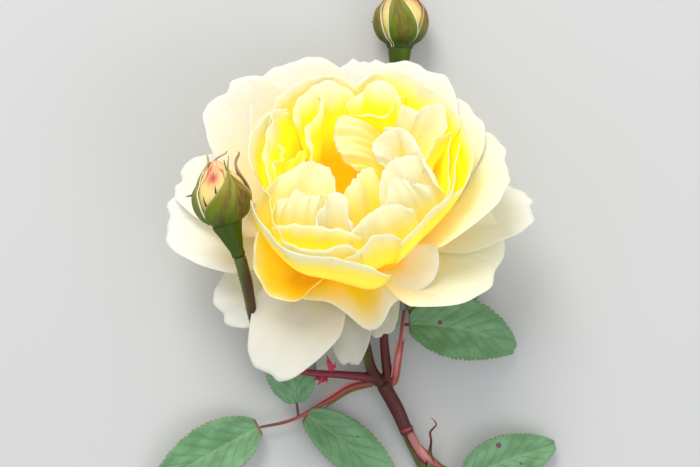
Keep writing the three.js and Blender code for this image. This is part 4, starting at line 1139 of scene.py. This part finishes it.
def leafSkinGroup():
    tree, given, result = newGroup("leafSkin", {
        "Across": 0.0, "Along": 0.0, "Seed": 0.0, "Outer Face": 0.0, "Vein Count": float(leafForm["veins"]),
        "Green": (0.12, 0.285, 0.12, 1), "Light Green": (0.22, 0.44, 0.22, 1),
        "Vein Tint": (0.3, 0.5, 0.22, 1), "Groove": (0.06, 0.17, 0.065, 1),
        "Edge Tint": (0.2, 0.27, 0.06, 1), "Back": (0.26, 0.4, 0.25, 1),
        "Spot Tint": (0.15, 0.075, 0.11, 1), "Mark": 0.0, "Stalk": 0.0, "Stalk Tint": (0.24, 0.07, 0.035, 1),
    }, {"Colour": (0.0, 0.0, 0.0, 1), "Height": None})
    across, along = given["Across"], given["Along"]
    away = mathNode(tree, "ABSOLUTE", across)
    place = combine(tree, across, times(tree, along, 2.0), given["Seed"])
    clouds = noiseNode(tree, place, 2.5, 4.0)
    skin = mixColour(tree, rangeNode(tree, clouds, 0.3, 0.75), given["Green"], given["Light Green"])
    # side veins leave the midrib at a slant and curve on towards the tip
    slant = mathNode(tree, "SUBTRACT", times(tree, times(tree, across, across), leafForm["veinBend"]),
                     times(tree, away, leafForm["veinSlant"]))
    phase = times(tree, given["Vein Count"], mathNode(tree, "ADD", along, slant))
    offset = mathNode(tree, "ABSOLUTE", mathNode(tree, "SUBTRACT", phase, mathNode(tree, "ROUND", phase)))
    reachOut = rangeNode(tree, away, 0.5, 0.98, 1.0, 0.0)
    side = times(tree, rangeNode(tree, offset, 0.0, 0.07, 1.0, 0.0), reachOut)
    middle = rangeNode(tree, away, 0.015, 0.06, 1.0, 0.0)
    vein = larger(tree, middle, times(tree, side, 0.45))
    net = addNode(tree, "ShaderNodeTexVoronoi", {"Vector": place, "Scale": 22.0}, feature="DISTANCE_TO_EDGE")
    mesh = rangeNode(tree, net.outputs["Distance"], 0.0, 0.12, 0.35, 0.0)
    skin = mixColour(tree, times(tree, mesh, 0.5), skin, given["Vein Tint"])
    sunken = times(tree, rangeNode(tree, offset, 0.02, 0.16, 1.0, 0.0), reachOut)
    skin = mixColour(tree, times(tree, sunken, 0.45), skin, given["Groove"])
    skin = mixColour(tree, times(tree, vein, 0.5), skin, given["Vein Tint"])
    skin = mixColour(tree, rangeNode(tree, away, 0.93, 0.995, 0.0, 0.75), skin, given["Edge Tint"])
    skin = mixColour(tree, times(tree, given["Outer Face"], 0.85), skin, given["Back"])
    spots = rangeNode(tree, noiseNode(tree, place, 5.0, 2.0), 0.74, 0.8)
    ragged = times(tree, given["Mark"], mathNode(tree, "ADD", clouds, 0.5))
    ragged = rangeNode(tree, ragged, 0.3, 0.5)
    skin = mixColour(tree, larger(tree, spots, ragged), skin, given["Spot Tint"])
    skin = mixColour(tree, given["Stalk"], skin, given["Stalk Tint"])
    tree.links.new(skin, result["Colour"])
    grooves = mathNode(tree, "ADD", times(tree, vein, 0.5), times(tree, mesh, 0.6))
    tree.links.new(mathNode(tree, "SUBTRACT", clouds, grooves), result["Height"])
    return tree


leafLook = {
    "fields": {"Across": "across", "Along": "along", "Outer Face": "outerFace", "Seed": "seed",
               "Mark": "mark", "Stalk": "stalk"},
    "finish": {"Roughness": 0.42, "Specular IOR Level": 0.45},
    "relief": (0.35, 0.4),
    "translucency": 0.2,
}
leafPaint = buildMaterial("leafPaint", leafSkinGroup(), leafLook)
bractPaint = buildMaterial("bractPaint", stemSkin, stemLook, {
    "Crimson": (0.42, 0.025, 0.07, 1), "Pale": (0.55, 0.06, 0.12, 1),
})


def buildLeaves():
    for n, (node, row) in enumerate(leaflets.items()):
        part = bladePart(row, firstSeed["leaflet"] + n, leafOutline, leafForm)
        buildPiece(pieceName(node, "Blade"), [part], leafPaint, "leaf", node)
    for n, (node, blades) in enumerate(bracts.items()):
        seed = firstSeed["bract"] + 5 * n
        parts = [bladePart({**bractDefaults, **blade}, seed + k, lanceOutline, bractForm)
                 for k, blade in enumerate(blades)]
        buildPiece(pieceName(node, "Blade"), parts, bractPaint, "stalk", node)
    curled = ribbonPart(curledBract, firstSeed["curledBract"])
    buildPiece(pieceName("node_bract", "Blade"), [curled], stemPaint, "stalk", "node_bract")


buildLeaves()


# mm; overlap is how far a furled petal stands off the one under it, root how far below the seat a sepal
# starts, and core the width of the bud's core as a share of its own
budForm = {"radius": 7.8, "height": 19.0, "overlap": 0.7, "core": 0.88}
sepalForm = {"columns": 18, "rows": 70, "thickness": 0.5, "root": 1.4}
wrapForm = {"columns": 26, "rows": 44, "thickness": 0.3, "halfAngle": 78.0}
spurForm = {"radii": [0.4, 0.24, 0.07], "flush": [0, 0]}

# sepals by their bearing round the bud (270 faces up from the ground), half width in degrees, how far the
# tip leans round in degrees, the tip's distance from the axis, its hook in mm, how brown they are and how
# white the felt is on the left and right margins; spurs are small thorns on a margin, as (side, place along,
# length, share of it that runs along the margin)
sepalDefaults = {
    "spread": 34.0, "full": 1.7, "lean": 0.0, "bend": 2.0, "length": 23.0, "tip": 1.6, "tipWidth": 0.7,
    "hook": 0.0, "brown": 0.25, "felt": (0.3, 0.3), "spurs": (),
}
# a bud's cup is its hip's profile of (radius, height), and its pink spots are (furled petal, u, v, size)
buds = {
    "left_bud": {
        "seat": (-37.1, 3.4, 49.5), "axis": (-0.19, 0.96, 0.12), "hipAxis": (-0.34, 0.93, 0.1),
        "wrapFrom": 56, "pink": ((2, 0.62, 0.8, 0.15), (2, 0.42, 0.92, 0.06)),
        "cup": [(0, -11), (1.9, -11), (2.1, -9), (2.9, -6.2), (3.7, -3.4), (4.5, -1.2), (4.6, -0.35),
                (0, -0.35)],
        "sepals": [
            {"bearing": 197, "spread": 43, "full": 3.2, "lean": 16, "length": 21.0, "tip": 1.6, "brown": 0.15,
             "felt": (0, 1.0), "spurs": ((0.6, 0.5, 2.6, 0.05), (0.6, 0.08, 1.9, -0.2))},
            {"bearing": 258, "spread": 38, "lean": 95, "bend": 1.4, "length": 19.6, "tip": 5.0, "brown": 0.3,
             "felt": (0.3, 0.0), "spurs": ((0.97, 0.36, 9.5, 0.62), (0.97, 0.52, 7.0, 0.62))},
            {"bearing": 333, "spread": 42, "lean": -12, "length": 18.6, "tip": 5.0, "brown": 0.6,
             "felt": (0.0, 0.7)},
            {"bearing": 36, "spread": 40, "full": 2.0, "lean": -4, "length": 20.8, "tip": 7.6,
             "tipWidth": 2.2, "hook": -2.0, "brown": 1.6, "felt": (0.0, 0.0)},
            {"bearing": 95, "spread": 36, "lean": 10, "length": 22.6, "tip": 2.2, "tipWidth": 1.1,
             "hook": -4.4, "brown": 1.6, "felt": (0.0, 0.0)},
        ],
    },
    "top_bud": {
        "seat": (16.2, 61.5, 9.3), "axis": (0.04, 1, 0.02), "hipAxis": (0.04, 1, 0.02), "wrapFrom": 30,
        "pink": ((2, 0.6, 0.85, 0.2), (3, -0.1, 0.86, 0.22), (3, 0.7, 0.8, 0.16), (4, 0, 0.82, 0.2),
                 (1, 0.3, 0.9, 0.2)),
        "cup": [(0, -11), (1.7, -11), (1.9, -9.4), (2.9, -7.4), (3.5, -4), (3.8, -1.4), (3.9, -0.35),
                (0, -0.35)],
        "sepals": [
            {"bearing": 276, "spread": 40, "lean": -62, "length": 24, "tip": 2.5, "brown": 0.3,
             "felt": (1.0, 1.0)},
            {"bearing": 188, "spread": 40, "full": 2.4, "lean": 8, "length": 22, "brown": 0.7,
             "felt": (0.2, 0.8), "spurs": ((0.9, 0.35, 1.8, 0.4),)},
            {"bearing": 350, "spread": 42, "full": 2.4, "lean": 14, "length": 23, "tip": 3.0, "brown": 1.0,
             "felt": (0.3, 0.2)},
            {"bearing": 56, "spread": 34, "length": 23.5, "hook": 2.0, "brown": 0.7},
            {"bearing": 124, "spread": 34, "length": 23.5, "hook": -2.5, "brown": 0.6},
        ],
    },
}


def eggRadius(h):
    t = np.clip(h / budForm["height"], 0, 1)
    return budForm["radius"] * np.sin(math.pi * (0.1 + 0.88 * t) ** 0.82) ** 0.8


def turnedPart(profile, sides, place, fields):
    # a closed turned shape, its profile of (radius, height) smoothed along a spline
    outline, _ = smoothPath([(r, 0, h) for r, h in profile], 6 * len(profile))
    count = len(outline)
    angle = np.linspace(0, 2 * math.pi, sides, endpoint=False)
    radius = np.maximum(outline[:, 0], 0.001)[:, None]
    x, y = radius * np.cos(angle), radius * np.sin(angle)
    z = np.repeat(outline[:, 2][:, None], sides, axis=1)
    verts = np.stack(place(x.ravel(), y.ravel(), z.ravel()), axis=1)
    ends = np.stack(place(np.zeros(2), np.zeros(2), outline[[0, -1], 2]), axis=1)
    verts = np.vstack([verts, ends])
    values = {"along": np.append(np.repeat(np.linspace(0, 1, count), sides), [0, 1]),
              "across": np.append(np.tile(0.5 * np.cos(angle), count), [0, 0]),
              "outerFace": np.ones(len(verts))}
    for name, value in fields.items():
        values[name] = np.full(len(verts), float(value))
    return {"verts": verts, "faces": ringFaces(count, sides), "values": values}


def onSeat(seat, axis):  # places a shape built round +Z on a seat, turned the shortest way to an axis
    turn = np.array(Vector((0, 0, 1)).rotation_difference(Vector(axis)).to_matrix())
    return lambda x, y, z: tuple(turn @ np.stack([x, y, z]) + np.array(seat)[:, None])


def budSepalParts(place, row, seed):
    sepal = {**sepalDefaults, **row}
    waves = ripples(seed, 4, 2, 6)
    edges = ripples(seed + 7, 3, 9, 20)
    root = sepalForm["root"]
    reach = sepal["length"] + root

    def hookAt(v):
        return ease((v - 0.76) / 0.24) ** 2 * sepal["hook"]

    def pointAt(u, v, lift):
        h = v * reach - root
        half = np.radians(sepal["spread"]) * np.maximum(0, 1 - (np.clip(v, 0, 1) / 0.84) ** sepal["full"])
        half = half * (1 + 0.05 * rippleAt(edges, v, 0 * v))
        tipward = ease((v - 0.5) / 0.5)
        hug = eggRadius(h) + budForm["overlap"] + 0.35
        r = np.maximum(hug * (1 - tipward) + sepal["tip"] * tipward, eggRadius(h) * (v < 0.9) + 0.3)
        r = r - 1.3 * (1 - ease((h + root) / 3.0)) - lift + 0.2 * rippleAt(waves, u, 4 * v) * v
        r = r + 0.35 * np.abs(u) ** 6 * np.sin(math.pi * np.clip(v, 0, 1))
        half = np.maximum(half, sepal["tipWidth"] * (1.15 - v) / np.maximum(r, 1.0))
        hook, slope = hookAt(v), (hookAt(v + 0.01) - hookAt(v - 0.01)) / (0.02 * reach)
        half = half / np.sqrt(1 + slope**2)  # the strip turns with its hook
        turn = np.radians(sepal["bearing"] + sepal["lean"] * np.maximum(v, 0) ** sepal["bend"]) - u * half
        x = r * np.cos(turn) - np.sin(turn) * hook
        y = r * np.sin(turn) + np.cos(turn) * hook
        return place(x, y, h - 0.4 * np.abs(hook) + u * half * r * slope)

    def spot(u, v):
        return np.array([value[0] for value in pointAt(np.array([u]), np.array([v]), 0.0)])

    def spurPart(side, v, length, share):
        foot = spot(side, v)
        ahead = unit(spot(side, v + 0.05) - foot)
        middle = np.array(place(np.zeros(1), np.zeros(1), np.array([v * sepal["length"]])))[:, 0]
        outwards = unit(foot - middle)
        sideways = unit(foot - spot(side * 0.8, v)) if share > 0.5 else outwards
        tip = foot + length * (share * ahead + (1 - abs(share)) * sideways + 0.1 * outwards)
        path = [foot - 0.3 * outwards, 0.5 * (foot + tip) + 0.15 * outwards, tip]
        spur = tubePart({**spurForm, "points": path}, seed, sides=7, spacing=0.2, relief=0.0)
        values, count = spur["values"], len(spur["verts"])
        values.update({"across": values["across"] * 0.4, "along": values["along"] * 0.02,
                       "brown": np.full(count, 0.6), "outerFace": np.ones(count)})
        return spur

    blade = sheetPart(sepalForm, pointAt, seed, {"brown": sepal["brown"]})
    blade["values"]["felt"] = np.where(blade["values"]["across"] > 0, *sepal["felt"])
    return [blade] + [spurPart(*spur) for spur in sepal["spurs"]]


def budNarrow(h):  # how the furled petals draw in towards the bud's point
    return 1 - 0.35 * ease((h / budForm["height"] - 0.6) / 0.4)


def wrapPart(place, bearing, top, seed, pink):
    # a furled petal: one edge is tucked under the petal before it, the other lies over the one after it
    waves = ripples(seed, 4, 2, 5)

    def pointAt(u, v, lift):
        reach = top * (1 - 0.12 * np.abs(u) ** 2.5)
        h = 1.0 + (reach - 1.0) * v
        wrap = np.radians(wrapForm["halfAngle"]) * (1 + 0.25 * v)
        over = budForm["overlap"] * (0.15 + 0.4 * (u + 1) * ease(v / 0.5))
        r = (eggRadius(h) * 0.96 + over) * budNarrow(h) - lift
        r = r + 0.12 * rippleAt(waves, u, 3 * v) * v + 0.5 * ease((v - 0.88) / 0.12) * ease((u + 0.2) / 1.2)
        turn = np.radians(bearing) + u * wrap + 0.35 * v**2
        return place(r * np.cos(turn), r * np.sin(turn), h)

    part = sheetPart(wrapForm, pointAt, seed, {"tone": 0.3, "gold": 0.5})
    part["values"]["pink"] = np.clip(spotField(part, pink, 0.7, 1.0), 0, 1)
    return part


def calyxSkinGroup():
    tree, given, result = newGroup("calyxSkin", {
        "Across": 0.0, "Along": 0.0, "Seed": 0.0, "Outer Face": 0.0, "Brown": 0.3, "Felt Amount": 0.5,
        "Deep Green": (0.028, 0.08, 0.0005, 1), "Green": (0.125, 0.2, 0.006, 1),
        "Light Green": (0.3, 0.36, 0.07, 1), "Brown Tint": (0.36, 0.12, 0.016, 1),
        "Speckle": (0.11, 0.035, 0.03, 1), "Felt": (0.78, 0.76, 0.6, 1),
    }, {"Colour": (0.0, 0.0, 0.0, 1), "Height": None})
    along, brown = given["Along"], given["Brown"]
    away = mathNode(tree, "ABSOLUTE", given["Across"])
    place = combine(tree, given["Across"], times(tree, along, 3.0), given["Seed"])
    clouds = noiseNode(tree, place, 1.6, 3.0)
    shade = mathNode(tree, "ADD", swing(tree, clouds, 0.35), along)
    skin = mixColour(tree, rangeNode(tree, shade, 0.0, 0.26), given["Deep Green"], given["Green"])
    paler = mathNode(tree, "ADD", shade, times(tree, away, 0.22))
    skin = mixColour(tree, rangeNode(tree, paler, 0.45, 0.95), skin, given["Light Green"])
    browning = times(tree, brown, rangeNode(tree, mathNode(tree, "ADD", along, clouds), 0.55, 1.15))
    skin = mixColour(tree, mathNode(tree, "MULTIPLY", browning, 0.8, clamp=True), skin, given["Brown Tint"])
    # fine purple streaks that run along the sepal, thickest on its middle
    streakPlace = combine(tree, times(tree, given["Across"], 3.0), along, given["Seed"])
    streaks = noiseNode(tree, streakPlace, 7.0, 5.0, 0.75)
    specks = rangeNode(tree, streaks, 0.44, 0.53, 0.0, 0.9)
    patch = rangeNode(tree, noiseNode(tree, place, 1.1, 1.0), 0.36, 0.5)
    inner = rangeNode(tree, away, 0.35, 0.85, 1.0, 0.15)
    speckAmount = times(tree, times(tree, specks, patch), inner)
    speckAmount = times(tree, speckAmount, rangeNode(tree, brown, 0.05, 0.5, 0.35, 1.0))
    skin = mixColour(tree, speckAmount, skin, given["Speckle"])
    midrib = times(tree, rangeNode(tree, away, 0.02, 0.1, 0.4, 0.0), rangeNode(tree, along, 0.05, 0.3))
    skin = mixColour(tree, midrib, skin, given["Brown Tint"])
    edge = times(tree, rangeNode(tree, away, 0.88, 0.95), rangeNode(tree, along, 0.7, 0.9, 1.0, 0.0))
    skin = mixColour(tree, times(tree, edge, given["Felt Amount"]), skin, given["Felt"])
    innerFace = mathNode(tree, "SUBTRACT", 1.0, given["Outer Face"])
    skin = mixColour(tree, times(tree, innerFace, 0.3), skin, given["Felt"])
    tree.links.new(skin, result["Colour"])
    tree.links.new(mathNode(tree, "ADD", clouds, times(tree, streaks, 0.8)), result["Height"])
    return tree


calyxLook = {
    "fields": {"Across": "across", "Along": "along", "Outer Face": "outerFace", "Seed": "seed",
               "Brown": "brown", "Felt Amount": "felt"},
    "finish": {"Roughness": 0.5, "Specular IOR Level": 0.18},
    "relief": (0.3, 0.4),
}
calyxPaint = buildMaterial("calyxPaint", calyxSkinGroup(), calyxLook)
budPaint = buildMaterial("budPaint", petalSkin, {**petalLook, "translucency": 0.2}, {
    "Claw": (0.9, 0.78, 0.12, 1), "Body": (0.93, 0.8, 0.2, 1), "Rim": (0.95, 0.62, 0.3, 1),
    "Heart Rim": (0.95, 0.75, 0.35, 1), "Back": (0.92, 0.76, 0.3, 1), "Blush": 0.6,
    "Vein Tint": (0.9, 0.45, 0.2, 1),
})

bloomCalyx = {
    "hip": [(0, -12), (2.2, -12), (3.888, -8.64), (5.4, -4.32), (5.076, -1.2), (4.428, -0.35), (0, -0.35)],
    "sepal": {"seat": (2.6, -2.2), "length": 18, "halfWidth": 3.6, "lean": (100, 124, 150), "cup": 8.0,
              "tuck": 0.0, "wave": 0.0, "notch": -0.2, "ruffle": 0.2},
    "firstBearing": 54,
}


def buildBloomCalyx():
    parts = [turnedPart(bloomCalyx["hip"], 32, onBloom, {"seed": 3, "brown": 0.1})]
    for n in range(5):
        sepal = {**bloomCalyx["sepal"], "bearing": bloomCalyx["firstBearing"] + 72 * n}
        parts.append(petalPart(sepal, firstSeed["bloomSepal"] + n))
    buildPiece("bloomCalyxSkin", parts, calyxPaint, "sepal", "bloom_calyx")


def buildBud(number, name, bud):
    place = onSeat(bud["seat"], bud["axis"])
    hip = turnedPart(bud["cup"], 32, onSeat(bud["seat"], bud["hipAxis"]), {"seed": 5 + number, "brown": 0.05})
    hip["values"]["along"] = hip["values"]["along"] * 0.1
    parts = [hip]
    for n, row in enumerate(bud["sepals"]):
        parts += budSepalParts(place, row, firstSeed["budSepal"] + 10 * number + n)
    buildPiece(pieceName(name, "CalyxSkin"), parts, calyxPaint, "sepal", name + "_calyx")

    # the furled petals, round a plain core that closes the gaps between them
    height = budForm["height"]
    core = [(eggRadius(h) * budNarrow(h) * budForm["core"], h + 0.2)
            for h in np.linspace(0, height * 0.93, 9)]
    core = [(0, 0.2)] + core + [(0, height * 0.95)]
    parts = [turnedPart(core, 40, place, {"seed": 9, "tone": 0.2, "gold": 0.9})]
    for n in range(5):
        pink = [spot[1:] for spot in bud["pink"] if spot[0] == n]
        parts.append(wrapPart(place, bud["wrapFrom"] + 72 * n, height * (1 - 0.02 * (n % 3)),
                              firstSeed["budPetal"] + 10 * number + n, pink))
    buildPiece(pieceName(name, "Petals"), parts, budPaint, "bud_petal", name + "_petals")


buildBloomCalyx()
for number, (name, bud) in enumerate(buds.items()):
    buildBud(number, name, bud)
